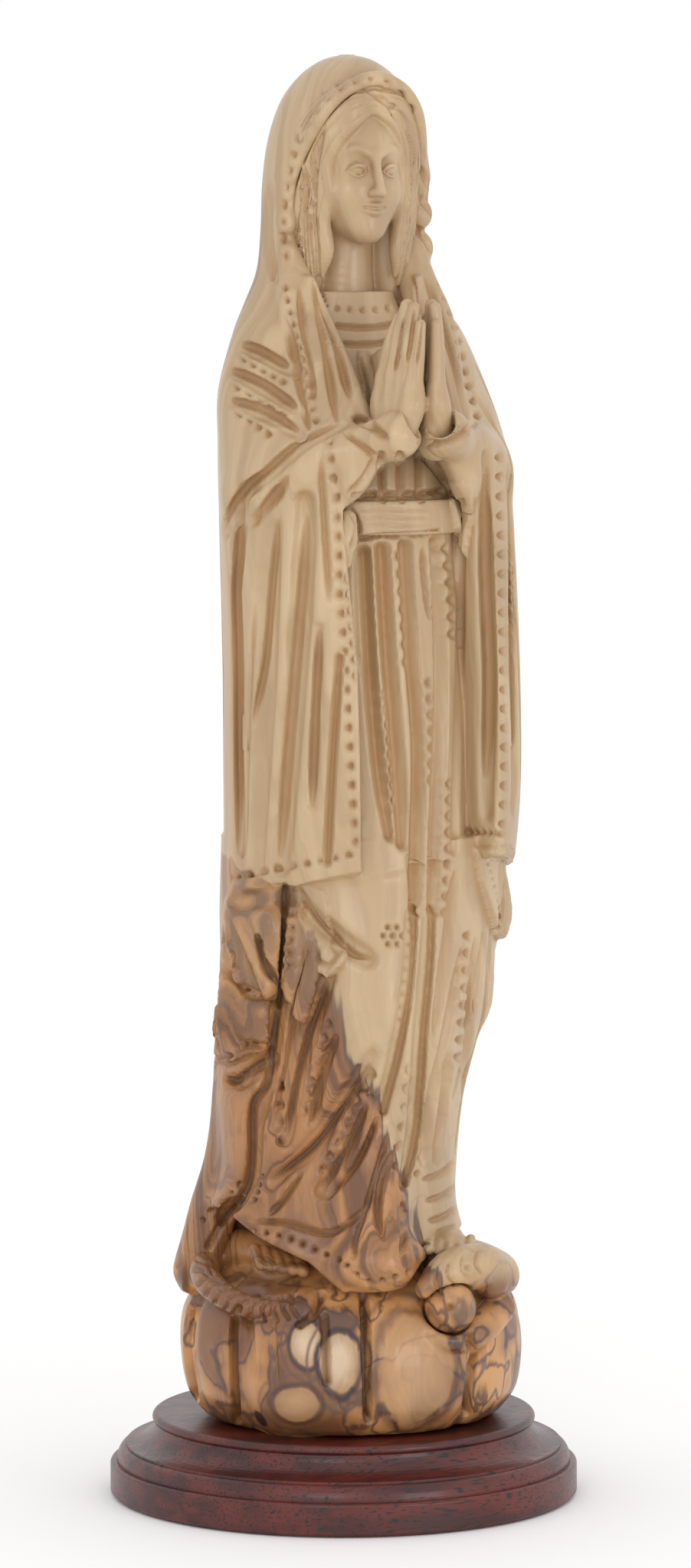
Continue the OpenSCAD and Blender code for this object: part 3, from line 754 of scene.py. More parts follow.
g(1.5, 1.2, (-4.3, 273.6), (2, 272.4), (9, 272.8), (14, 274))
d(6, (-1.6, 281), (5.2, 280.5), (10.8, 281), (13.6, 281.8), size=0.9, depth=1.0)
for u in (3.4, 5.6):
    g(1.3, 1.0, (u, 271), (u + 0.9, 265), (u + 2.0, 259.5))
for u in (8.8, 13.2, 17.7):
    g(2.1, 1.8, (u, 246.5), (u + 0.1, 241), (u + 0.5, 236.4), open_ends=True)
n(17, (-13.2, 293.5), (-13.9, 300), (-13.0, 309), (-11.2, 318), (-7.6, 326), (-1.4, 332.4), (6.4, 334.6),
  (12.0, 332.6),
  (15.6, 327.4), size=2.1, depth=1.5, turn=200)
g(2.6, 1.0, (-15.6, 286), (-17.2, 296), (-17.2, 304), (-16.4, 311), lean=0.3)
for u, z in ((18.6, 312), (20.5, 304), (19.4, 297)):
    g(2.4, 1.5, (u - 3, z + 3), (u, z), (u + 2.2, z - 3.5))
print("veil drawn, cells cut so far:", np.count_nonzero(front.depth))

# %% Draw the forearms, the sash and the right sleeve
g(2.6, 2.0, (2.4, 255.8), (6.4, 254), (10.4, 250.3), lean=-0.3)
g(1.8, 1.5, (0.0, 251.8), (4.4, 248.4), (8.2, 244.9), lean=0.4)
g(1.8, 1.5, (7.6, 246.6), (4.6, 241.2), (0.4, 237.2), lean=0.3)
g(2.2, 1.7, (17.4, 249.6), (22, 249.4), (27, 251), (31.4, 254.6))
g(1.5, 1.1, (19.5, 252.4), (24, 252), (28.5, 254.2))
g(1.6, 1.3, (18.4, 246.6), (22, 242), (24.6, 238.8), lean=0.3)
for z in (229.6, 231.4, 233.2):
    g(0.7, 0.45, (1.6, z), (8, z + 0.7), (15, z + 0.4), (21.4, z + 0.9))
g(1.5, 1.6, (2.4, 236.9), (8.4, 237.4), (15, 237.4), (23, 238.2), open_ends=True)
g(1.2, 1.4, (3, 226.9), (9, 227.6), (15, 227.8), (22.6, 228.6), open_ends=True)
for u in (7.2, 10.6, 15.4, 19.2, 21.6):
    d(1, (u, 237.6), size=1.1, depth=0.8)
g(1.5, 1.4, (1.4, 234), (3.4, 229.5), (1.6, 224.4), lean=0.2)
front.flap(1.6, (26, 244), (28, 228), (24.2, 240.5), (30.4, 240.5), (30.2, 231), (28.8, 222.6), (26.0, 229.6))
n(3, (27.7, 236), (27.7, 231.6), (27.1, 226.9), size=1.8)
n(22, (-3.6, 250), (-2.8, 242), (-1.5, 233.5), (-1.3, 224), (-1.3, 215), (-0.2, 203), (0.6, 190),
  (1.3, 177), (2, 165), (2.7, 155.2))
n(7, (0.4, 217.6), (1.4, 206), (2.4, 194.6))
n(9, (-25.4, 147.2), (-16, 149.0), (-8, 150.4), (1.2, 152.3), size=1.8, turn=-80)
g(2.2, 1.3, (-5.6, 247), (-5.2, 236), (-4.4, 224), (-3.6, 212), lean=0.4)
g(3.2, 1.9, (-13.4, 242), (-16.4, 237), (-22.4, 229.6), lean=0.2)
g(1.8, 1.2, (-15.5, 232), (-17.2, 214), (-18.6, 197.5), (-21.6, 182), lean=0.3)
g(2.6, 1.2, (-8.6, 233), (-9.8, 216), (-11.8, 192), (-13.6, 170), (-15.0, 150.5), lean=0.15)
g(2.0, 1.4, (-5.6, 206), (-6.6, 186), (-7.4, 163.5))
g(2.6, 2.0, (-0.9, 199), (-2.6, 176), (-3.9, 150.5), open_ends=True)
g(2.2, 1.2, (-20.6, 212), (-22.4, 190), (-23.4, 170), (-23.8, 150), lean=0.2)
g(2.6, 1.8, (-24.0, 240), (-25.4, 215), (-25.0, 185), (-24.8, 152), lean=0.3)
print("right sleeve drawn, cells cut so far:", np.count_nonzero(front.depth))

# %% Draw the skirt and the left sleeve
g(4.0, 3.0, (4.6, 223.5), (5.2, 210), (6.2, 195), (8.4, 172), (11.2, 157), open_ends=True)
g(4.2, 3.0, (9.1, 224.5), (10.4, 202), (12.4, 178), (14.2, 155), open_ends=True)
g(3.8, 3.0, (14.6, 225.5), (16.0, 201), (17.8, 178), (17.4, 155), (17.2, 139), open_ends=True)
g(1.9, 1.8, (18.8, 225), (19.3, 217), (20.5, 208))
g(3.6, 2.8, (21.9, 226), (22.9, 207), (23.0, 184), (22.0, 160), (21.4, 139), open_ends=True)
g(2.0, 1.2, (27.6, 224), (27.4, 201), (26.8, 178), (26.2, 153), open_ends=True)
g(2.0, 1.6, (3.0, 224), (3.6, 208), (4.2, 195))
n(7, (12.7, 223), (13.8, 210), (14.5, 197.8))
n(8, (8.7, 190), (10.2, 178), (11.5, 165))
n(7, (19.9, 193), (20.6, 183), (20.5, 170))
n(6, (23.8, 224.6), (25.2, 214), (25.5, 204.5))
n(9, (25.0, 169), (24.8, 156), (23.7, 138.6))
n(20, (36.5, 246), (37.0, 226), (37.4, 200), (37.8, 176), (37.4, 159.5), size=1.8)
n(6, (37.2, 157.2), (33.6, 157.6), (29.4, 157.8), size=1.5, turn=-80)
g(1.8, 1.6, (38.6, 248), (39.4, 226), (39.6, 200), (40.4, 174), (39.6, 161))
g(1.3, 1.0, (41.0, 226), (41.6, 200), (42.4, 176))
g(3.0, 1.6, (33.4, 244), (32.8, 222), (33.8, 196), (33.4, 170), lean=0.2)
print("skirt drawn, cells cut so far:", np.count_nonzero(front.depth))

# %% Draw the knee and the lower robe
front.flap(2.6, (-21, 146), (-20, 124), (-27.4, 140), (-26.6, 145.2), (-13.4, 146), (-14.6, 134.5),
           (-16.0, 118.8),
           (-19.2, 119.6), (-23.6, 131))
front.flap(3.0, (-26, 136), (-25, 106), (-28.6, 137), (-26.2, 130), (-22.9, 120), (-17.6, 118.4),
           (-18.4, 106.4),
           (-24, 103.6), (-28.0, 102.2), (-29, 112))
front.flap(2.4, (-9, 146), (-10, 116), (-14.6, 146), (-4.4, 144), (-2.4, 133), (-6.4, 122), (-9.2, 112),
           (-12.8, 118),
           (-13.8, 130))
front.flap(2.2, (-4, 132), (-4, 124), (-7.6, 131), (-5, 134.5), (0.4, 132), (0.8, 127.4), (-2.6, 123.4),
           (-6.4, 124.6))
front.flap(2.2, (33, 160), (35, 138), (30.6, 154), (31.6, 146), (35.0, 133.6), (37.4, 131.4), (39.5, 140),
           (40, 154))
g(2.4, 2.0, (-14.0, 146), (-14.6, 132), (-15.0, 122), lean=0.3)
g(2.8, 2.4, (-19.4, 134), (-18.4, 126), (-16.4, 121.5))
g(2.0, 1.6, (-27, 130), (-25.4, 122.8), (-20.6, 118.6), (-14.8, 119.6), lean=-0.4)
g(2.2, 1.8, (-27.6, 116), (-24.6, 109), (-20, 107), (-16.4, 108.6))
g(2.0, 1.4, (-28, 99.4), (-25.4, 98.8), (-22.4, 100.8), (-17, 104.2), lean=-0.4)
n(4, (-27.4, 104.0), (-25.6, 105), (-23.6, 106.4), (-20.4, 108), size=1.6, turn=-80)
g(2.0, 1.6, (-15, 121), (-16.6, 109), (-18.2, 98), (-21.3, 92), (-21.8, 78), (-24, 71), (-29, 64),
  (-32, 58.6), open_ends=True)
g(1.8, 1.4, (-10.9, 145), (-6.8, 138), (-2.6, 133), (2.1, 128.6), (6.6, 127.4), lean=0.4)
g(1.4, 1.2, (-5.8, 130.6), (-5.4, 127.4), (-3.2, 126.2), (-1.6, 128.2), (-3.0, 130.0))
g(1.8, 1.4, (-3.6, 122.6), (-8.2, 110), (-11.4, 98), (-13.8, 85), lean=0.3)
g(1.6, 1.2, (-8.6, 128), (-11.4, 116), (-14.2, 102), (-16.8, 88))
g(2.8, 2.4, (-1.8, 109.6), (-5.2, 101), (-8.0, 87), lean=0.3)
g(1.8, 1.5, (6.4, 103), (3.4, 97.6), (-0.4, 92), (-7.3, 83), (-17.6, 74.4), lean=0.3)
g(1.6, 1.2, (5.7, 93.4), (1.6, 84), (-5.2, 72.4), lean=0.2)
g(2.4, 2.0, (8.5, 90.4), (3.6, 80), (-4.2, 70))
g(2.0, 1.6, (10.8, 86), (7.8, 76), (4.6, 66))
g(2.0, 1.6, (-9.8, 77), (-14.2, 70), (-18.2, 66))
g(1.8, 1.5, (15.6, 152), (16.6, 136), (16.0, 122), (13.2, 106), (9.4, 91), open_ends=True)
g(2.0, 1.6, (21.2, 152), (20.6, 130), (18.9, 109), (17.4, 88), (14.8, 74), open_ends=True)
g(2.8, 2.3, (26.6, 149), (24.0, 129), (21.5, 108.6), lean=0.2)
g(2.6, 2.2, (28.4, 131), (24.2, 108.6), (20.6, 93), (18.6, 77))
g(2.2, 1.8, (31.4, 133), (30.0, 114), (28.5, 92))
g(2.4, 2.0, (25.4, 106), (23.6, 92), (21.6, 78))
for u, z in ((18.5, 74.5), (19.4, 69.4), (20.0, 64.6)):
    g(1.9, 1.5, (u, z), (u + 4.4, z + 1.4), (u + 9, z + 5.4))
n(4, (-15.2, 97), (-15.2, 84), turn=20)
n(7, (-3.9, 112), (-6.6, 102), (-9.5, 91), turn=25)
n(8, (6.4, 100), (1.4, 90), (-5.0, 77), turn=30)
n(6, (15.0, 101), (14.0, 90), (12.2, 78))
n(8, (29.2, 133), (28.4, 118), (27.0, 104))
n(5, (-12.2, 138), (-12.6, 126), size=1.6)
n(10, (15.9, 140), (15.0, 126), (13.3, 113), size=1.2, depth=0.7)
n(5, (19.6, 92), (17.4, 76), size=1.5, turn=15)
d(6, *[(11.7 + 2.3 * math.cos(k * math.pi / 3), 133 + 2.3 * math.sin(k * math.pi / 3)) for k in range(6)],
  size=0.85)
d(1, (11.7, 133))
d(4, (-19.5, 75.5), (-20.3, 72.6), (-21.3, 70.0), size=0.8)
d(8, (-21.5, 62.6), (-13.8, 61.0), (-7.2, 58.2), (-1.3, 55.6), size=0.85)
d(6, (0.6, 54.2), (5.2, 50.4), (10, 50.6), (15.6, 52.6), size=0.85)
d(5, (-24.6, 73.6), (-29, 69.4), (-33.4, 65.0), size=0.8)
g(1.8, 1.3, (-23, 64.8), (-14, 64.4), (-4, 62), (1.4, 64.6), (6.4, 69.4))
g(2.6, 2.0, (9.6, 60), (8.2, 66), (9.0, 74), (12.4, 82))
g(1.8, 1.3, (2.4, 55.4), (2.8, 61), (5.2, 68))
g(1.8, 1.3, (13.8, 56), (14.4, 62), (14.0, 70))
n(12, (32.7, 152), (34.6, 142), (36.0, 132.5), size=1.1, depth=0.6)
print("folds drawn, the deepest cut is", round(float(front.depth.max()), 1), "mm")

# %% [markdown]
# ## The sides and the back
#
# The unseen sides get the same long folds, which hang from the shoulders and open out over the mound. They
# are drawn on three more boards, which face the statue's left, its back and its right rear.

# %% Draw the sides and the back
def side_drawing(turn, folds, borders):
    """A drawing on a board at this turn, with its folds and its rows of notches."""
    drawing = Drawing(Board(turn))
    for width, depth, route in folds:
        drawing.groove(width, depth, *route, lean=0.2)
    for count, route in borders:
        drawing.notches(count, *route, size=1.8)
    return drawing


left = side_drawing(62, (
    (3.0, 2.0, ((-8, 262), (-7, 240), (-8, 205), (-6, 166))),
    (2.6, 1.8, ((1, 268), (2, 240), (1, 205), (2, 160))),
    (3.0, 2.0, ((10, 262), (12, 230), (11, 190), (13, 156))), (2.6, 1.8, ((18, 250), (20, 215), (20, 175))),
    (2.8, 2.0, ((-4, 143), (-8, 122), (-6, 100), (-10, 78))),
    (3.0, 2.2, ((6, 141), (3, 118), (6, 92), (4, 70))),
    (2.8, 2.0, ((15, 142), (13, 112), (17, 84), (20, 64))), (2.4, 1.6, ((-12, 132), (-14, 112), (-15, 92))),
), ((9, ((1, 136), (-1, 116), (1, 96))), (8, ((10, 134), (9, 112), (12, 90)))))
rear = side_drawing(152, (
    (3.0, 1.8, ((-22, 262), (-20, 225), (-22, 180), (-24, 120))),
    (3.4, 2.2, ((-12, 280), (-11, 235), (-13, 180), (-12, 100), (-15, 62))),
    (3.0, 2.0, ((-2, 286), (-3, 240), (-1, 190), (-3, 130), (-2, 60))),
    (3.4, 2.2, ((8, 280), (10, 230), (8, 175), (11, 110), (10, 60))),
    (3.0, 1.8, ((19, 265), (20, 220), (18, 165), (22, 100), (24, 64))),
), ())
right = side_drawing(-118, (
    (2.8, 1.8, ((-16, 262), (-15, 225), (-17, 180), (-16, 110), (-19, 66))),
    (3.2, 2.0, ((-5, 270), (-6, 225), (-4, 175), (-7, 110), (-6, 64))),
    (3.0, 1.8, ((6, 262), (5, 230), (7, 190), (6, 150))), (2.8, 1.8, ((4, 140), (6, 118), (3, 96), (4, 66))),
    (2.8, 1.8, ((14, 246), (15, 210), (14, 165))),
), ())
print("sides and back drawn on three more boards")

# %% Cut the figure
figure = Surface(body)
figure.carve(front)
for drawing in (left, rear, right):
    figure.carve(drawing)
print("figure cut:", len(figure.quads), "faces")

# %% Draw and cut the mound and the serpent
ground = Drawing(main_board)
g, d = ground.groove, ground.dots
for width, depth, route in (
    (2.6, 2.4, ((-5.4, 47), (-6.8, 43), (-10.4, 40))),
    (2.4, 1.8, ((-4.6, 42), (-4.2, 33), (-4.0, 26))),
    (2.2, 2.6, ((-25.2, 44), (-26.2, 38), (-26.2, 28), (-25.4, 17))),
    (2.2, 2.8, ((4.6, 47), (5.2, 40), (5.6, 28), (5.8, 17))),
    (2.2, 2.4, ((30.0, 38), (30.4, 30), (29.0, 19))),
    (2.0, 2.2, ((-36.2, 44), (-37.2, 34), (-35.4, 22))),
):
    g(width, depth, *route, open_ends=True)
for u in (-22.4, -17.0):
    g(1.6, 0.9, (u, 47), (u + 0.4, 36), (u + 1.2, 26))
coil = smooth_path([(-12.4, 44.3), (-17, 43.6), (-22.4, 44.2), (-27.6, 46.4), (-31.6, 49.6), (-33.2, 53),
                    (-30.6, 56.6)], 6)
for (u, z), (v, w) in zip(coil[::3], coil[2::3]):
    step = math.hypot(v - u, w - z)
    tx, tz = (v - u) / step, (w - z) / step
    for side in (-1, 1):
        tip = (u - 1.2 * tx - 2.6 * side * tz, z - 1.2 * tz + 2.6 * side * tx)
        g(1.1, 1.1, (u, z), tip, open_ends=True)
d(1, (25.4, 44.2), size=1.2, depth=1.6)
for u, z in ((22, 53.4), (25, 55.6), (28.4, 57.2), (31.8, 58.2)):
    g(0.8, 0.8, (u, z), (u - 0.4, z - 3.6), (u + 1.4, z - 6.6))
d(1, (29.4, 53.6), size=1.1, depth=0.9)
print("mound drawn")
base = Surface(mound)
base.carve(ground, reach=3.0)
print("mound cut:", len(base.quads), "faces")

# %% Draw and cut the fingers and the hair
fine = Drawing(main_board)
g = fine.groove
for route in (((14.4, 279), (13.2, 272), (11.9, 266)), ((16.6, 281), (15.8, 274), (14.8, 268)),
              ((18.9, 279.6), (18.0, 273), (17.0, 267.4))):
    g(1.0, 0.8, *route)
grip = Surface(hands)
grip.carve(fine, reach=2.0)
neck_bend = np.array(Matrix.Rotation(math.radians(5), 3, "X"))
bust = Surface(head)
bust.points = bust.points @ neck_bend.T + np.array((0, -3.5, 313))
strands = Drawing(main_board)
g = strands.groove
for k in range(8):
    g(1.0, 1.0, (3.4 - 0.4 * k, 332.5 - 0.1 * k), (-2.4 - 0.9 * k, 327.5 - 0.9 * k),
      (-7.4 - 0.6 * k, 321 - 1.8 * k))
    g(1.0, 1.0, (-4.4 - 0.7 * k, 324 - 1.4 * k), (-6.6 - 0.7 * k, 310 - 1.5 * k), (-6.2 - 0.8 * k, 299 - k),
      (-5.6 - 0.7 * k, 288))
    g(1.0, 1.0, (5.0 + 0.4 * k, 332 - 0.1 * k), (11.0 + 0.6 * k, 327 - 0.4 * k), (14.6 + 0.4 * k, 318 - k),
      (14.8 + 0.3 * k, 306 - k))
    g(0.9, 0.8, (15.0 + 0.3 * k, 310 - k), (14.0 + 0.4 * k, 300 - k), (13.4 + 0.4 * k, 289))
bust.carve(strands, reach=3.0)
print("fingers and hair cut")

# %% [markdown]
# ## From surface to meshes
#
# The cut surface has too many faces for one piece, so it's sliced into level bands, each one closed by a
# flat cap. The caps lie against each other inside the wood. Each point keeps the direction that the whole
# surface had there, so that no seam shows between two bands. Two numbers go with each point for the wood's
# colour: how deep it was cut, and how hollow the surface is round it.

# %% Make the carving's meshes
MOST_FACES = 90000
pieces = []


def hollow(surface, passes):
    """How far each point lies under the smoothed surface round it, in millimetres."""
    smoothed = surface.points
    for _ in range(passes):
        smoothed = np.column_stack([surface.neighbours_mean(smoothed[:, axis]) for axis in range(3)])
    return ((smoothed - surface.points) * surface.normals()).sum(axis=1)


def band_mesh(name, surface, low, high, numbers, normals):
    """The faces that touch the band between two heights, as a mesh that keeps these numbers on its points."""
    spans = surface.points[surface.quads, 2]
    chosen = surface.quads[(spans.max(axis=1) > low) & (spans.min(axis=1) < high)]
    used, faces = np.unique(chosen, return_inverse=True)
    mesh = bpy.data.meshes.new(name)
    mesh.vertices.add(len(used))
    mesh.vertices.foreach_set("co", (surface.points[used] * TO_METRES).astype(np.float32).ravel())
    mesh.loops.add(chosen.size)
    mesh.loops.foreach_set("vertex_index", faces.astype(np.int32).ravel())
    mesh.polygons.add(len(chosen))
    mesh.polygons.foreach_set("loop_start", np.arange(0, chosen.size, 4, dtype=np.int32))
    for key, values in numbers.items():
        stored = mesh.attributes.new(key, "FLOAT", "POINT").data
        stored.foreach_set("value", values[used].astype(np.float32))
    stored = mesh.attributes.new("direction", "FLOAT_VECTOR", "POINT").data
    stored.foreach_set("vector", normals[used].astype(np.float32).ravel())
    mesh.update()
    return mesh


def cut_and_cap(mesh, low, high):
    """Cut the mesh off at both heights and close it with flat caps."""
    bm = bmesh.new()
    bm.from_mesh(mesh)
    for level, inner in ((low, True), (high, False)):
        if math.isfinite(level):
            everything = bm.verts[:] + bm.edges[:] + bm.faces[:]
            bmesh.ops.bisect_plane(bm, geom=everything, dist=1e-7, plane_co=(0, 0, level * TO_METRES),
                                   plane_no=(0, 0, 1), clear_inner=inner, clear_outer=not inner)
    for face in bm.faces:
        face.smooth = True
    rim = [edge for edge in bm.edges if edge.is_boundary]
    caps = bmesh.ops.holes_fill(bm, edges=rim, sides=0)["faces"] if rim else []
    for face in caps:
        face.smooth = False
    bm.to_mesh(mesh)
    bm.free()


def read(collection, key, count, kind):
    """One number for each item of a mesh, as an array."""
    values = np.empty(count, kind)
    collection.foreach_get(key, values)
    return values


def set_directions(mesh):
    """Shade the carved faces by the whole surface's directions, and the caps flat."""
    smooth = read(mesh.polygons, "use_smooth", len(mesh.polygons), bool)
    sizes = read(mesh.polygons, "loop_total", len(mesh.polygons), np.int32)
    corner = read(mesh.loops, "vertex_index", len(mesh.loops), np.int32)
    direction = read(mesh.attributes["direction"].data, "vector", len(mesh.vertices) * 3, np.float32)
    own = direction.reshape(-1, 3)[corner]
    own[~np.repeat(smooth, sizes)] = 0
    mesh.normals_split_custom_set(own.tolist())
    mesh.attributes.remove(mesh.attributes["direction"])


def add_piece(name, surface, passes=8):
    """Slice a surface into level bands with about the same number of faces, and add each as an object."""
    normals = surface.normals()
    numbers = {"cut": surface.cut, "hollow": hollow(surface, passes)}
    heights = surface.points[surface.quads, 2].mean(axis=1)
    bands = math.ceil(len(heights) / MOST_FACES)
    levels = np.quantile(heights, np.linspace(0, 1, bands + 1))
    levels[0], levels[-1] = -math.inf, math.inf
    for number, (low, high) in enumerate(zip(levels, levels[1:])):
        mesh = band_mesh(name, surface, low, high, numbers, normals)
        cut_and_cap(mesh, low, high)
        set_directions(mesh)
        piece = bpy.data.objects.new(f"{name}_{number + 1}" if bands > 1 else name, mesh)
        bpy.context.scene.collection.objects.link(piece)
        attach(piece, "root")
        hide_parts("carved_figure")
        pieces.append(piece)
        print(piece.name, len(mesh.polygons), "faces")


add_piece("figure", figure)
add_piece("mound", base)
add_piece("praying_hands", grip, passes=6)
add_piece("head", bust, passes=6)

# %% [markdown]
# ## Wood, brass and felt
#
# Shader sums are written with ordinary operators, through one small class. Olive wood is a solid texture.
# Its dark heartwood is a cylinder that leans back as it rises, together with the wood on one side of a
# slanting boundary under the sleeves' hems. The rest is pale sapwood. Dark lines follow the growth rings
# and the edge of the heartwood, and knots show on the front of the mound. Cuts and hollows are coloured
# darker: partly real stain and wax held there, partly painted shade.

# %% The shader tools
class Value:
    """A number or a vector flowing through a shader."""

    def __init__(self, shader, socket):
        self.shader, self.socket = shader, socket

    def math(self, operation, *others):
        """One of Blender's math nodes, with this value first."""
        return self.shader.node("ShaderNodeMath", [self, *others], operation=operation)

    def __add__(self, other):
        return self.math("ADD", other)

    def __sub__(self, other):
        return self.math("SUBTRACT", other)

    def __rsub__(self, other):
        return self.shader.node("ShaderNodeMath", [other, self], operation="SUBTRACT")

    def __mul__(self, other):
        return self.math("MULTIPLY", other)

    def __truediv__(self, other):
        return self.math("DIVIDE", other)

    __radd__, __rmul__ = __add__, __mul__

    def step(self, low, high):
        """0 up to low, 1 from high on, smooth between."""
        return self.shader.node("ShaderNodeMapRange", {"Value": self, "From Min": low, "From Max": high},
                                interpolation_type="SMOOTHSTEP")

    def near(self, centre, width):
        """1 at the centre, 0 from the width on."""
        return 1 - (self - centre).math("ABSOLUTE").step(0, width)


class Shader:
    """A material whose nodes are made by one method."""

    def __init__(self, name, roughness=0.4, metallic=0.0, coat=0.0):
        self.material = bpy.data.materials.new(name)
        self.material.use_nodes = True
        self.tree = self.material.node_tree
        self.surface = self.tree.nodes["Principled BSDF"]
        for key, value in (("Roughness", roughness), ("Metallic", metallic), ("Coat Weight", coat)):
            self.surface.inputs[key].default_value = value
        self.place = self.node("ShaderNodeTexCoord", {}, output="Object")
        scaled = self.node("ShaderNodeVectorMath", {0: self.place, "Scale": 1 / TO_METRES}, operation="SCALE")
        self.x, self.y, self.z = (self.node("ShaderNodeSeparateXYZ", {0: scaled},
            output=axis) for axis in "XYZ")

    def node(self, kind, inputs, output=0, **settings):
        node = self.tree.nodes.new(kind)
        for key, value in settings.items():
            setattr(node, key, value)
        for key, value in enumerate(inputs) if isinstance(inputs, list) else inputs.items():
            self.join(node.inputs[key], value)
        return Value(self, node.outputs[output])

    def join(self, socket, value):
        if isinstance(value, Value):
            self.tree.links.new(value.socket, socket)
        else:
            socket.default_value = value

    def vector(self, x, y, z):
        return self.node("ShaderNodeCombineXYZ", [x, y, z])

    def noise(self, x, y, z, detail=2.0):
        """Noise from 0 to 1 whose lumps are about one unit across."""
        inputs = {"Vector": self.vector(x, y, z), "Scale": 1.0, "Detail": detail}
        return self.node("ShaderNodeTexNoise", inputs, output="Fac")

    def mix(self, a, b, share):
        """From colour a to colour b."""
        node = self.tree.nodes.new("ShaderNodeMix")
        node.data_type = "RGBA"
        for key, value in (("Factor_Float", share), ("A_Color", a), ("B_Color", b)):
            self.join(next(i for i in node.inputs if i.identifier == key), value)
        return Value(self, next(o for o in node.outputs if o.identifier == "Result_Color"))

    def number(self, name):
        return self.node("ShaderNodeAttribute", {}, output="Fac", attribute_name=name)

    def bump(self, height, distance, strength=1.0):
        normal = self.node("ShaderNodeBump", {"Height": height, "Distance": distance, "Strength": strength})
        self.join(self.surface.inputs["Normal"], normal)

    def finish(self, **inputs):
        """Join these values to the surface's inputs and give the material."""
        for key, value in inputs.items():
            self.join(self.surface.inputs[key.replace("_", " ")], value)
        return self.material


def colour(red, green, blue):
    return (red, green, blue, 1.0)


print("shader tools ready")

# %% Olive wood
MOUND_RADIUS, MOUND_BULGE = 38.5, 1.5
BOUNDARY_X, BOUNDARY_Y = (round(float(part), 3) for part in main_board.across)
HEARTWOOD_RADIUS = 16
KNOTS = (
    ((-8.8, 35), (4.2, 4.2, 6.0), 0.9),
    ((-1.0, 31), (5.0, 5.0, 7.6), 1.0),
    ((16.8, 28.5), (9.4, 9.4, 13.0), 0.6),
    ((-11.0, 21.5), (6.0, 6.0, 5.0), 0.6),
)
SPOTS = (((-20.3, 16.3), 2.4), ((-19.0, 33.0), 1.5), ((-16.0, 26.0), 1.2))


def on_mound(across, up):
    """The place on the mound's front that shows here on the board."""
    return main_board.place(across, up, math.sqrt(max(MOUND_RADIUS**2 - across**2, 0)) + MOUND_BULGE)


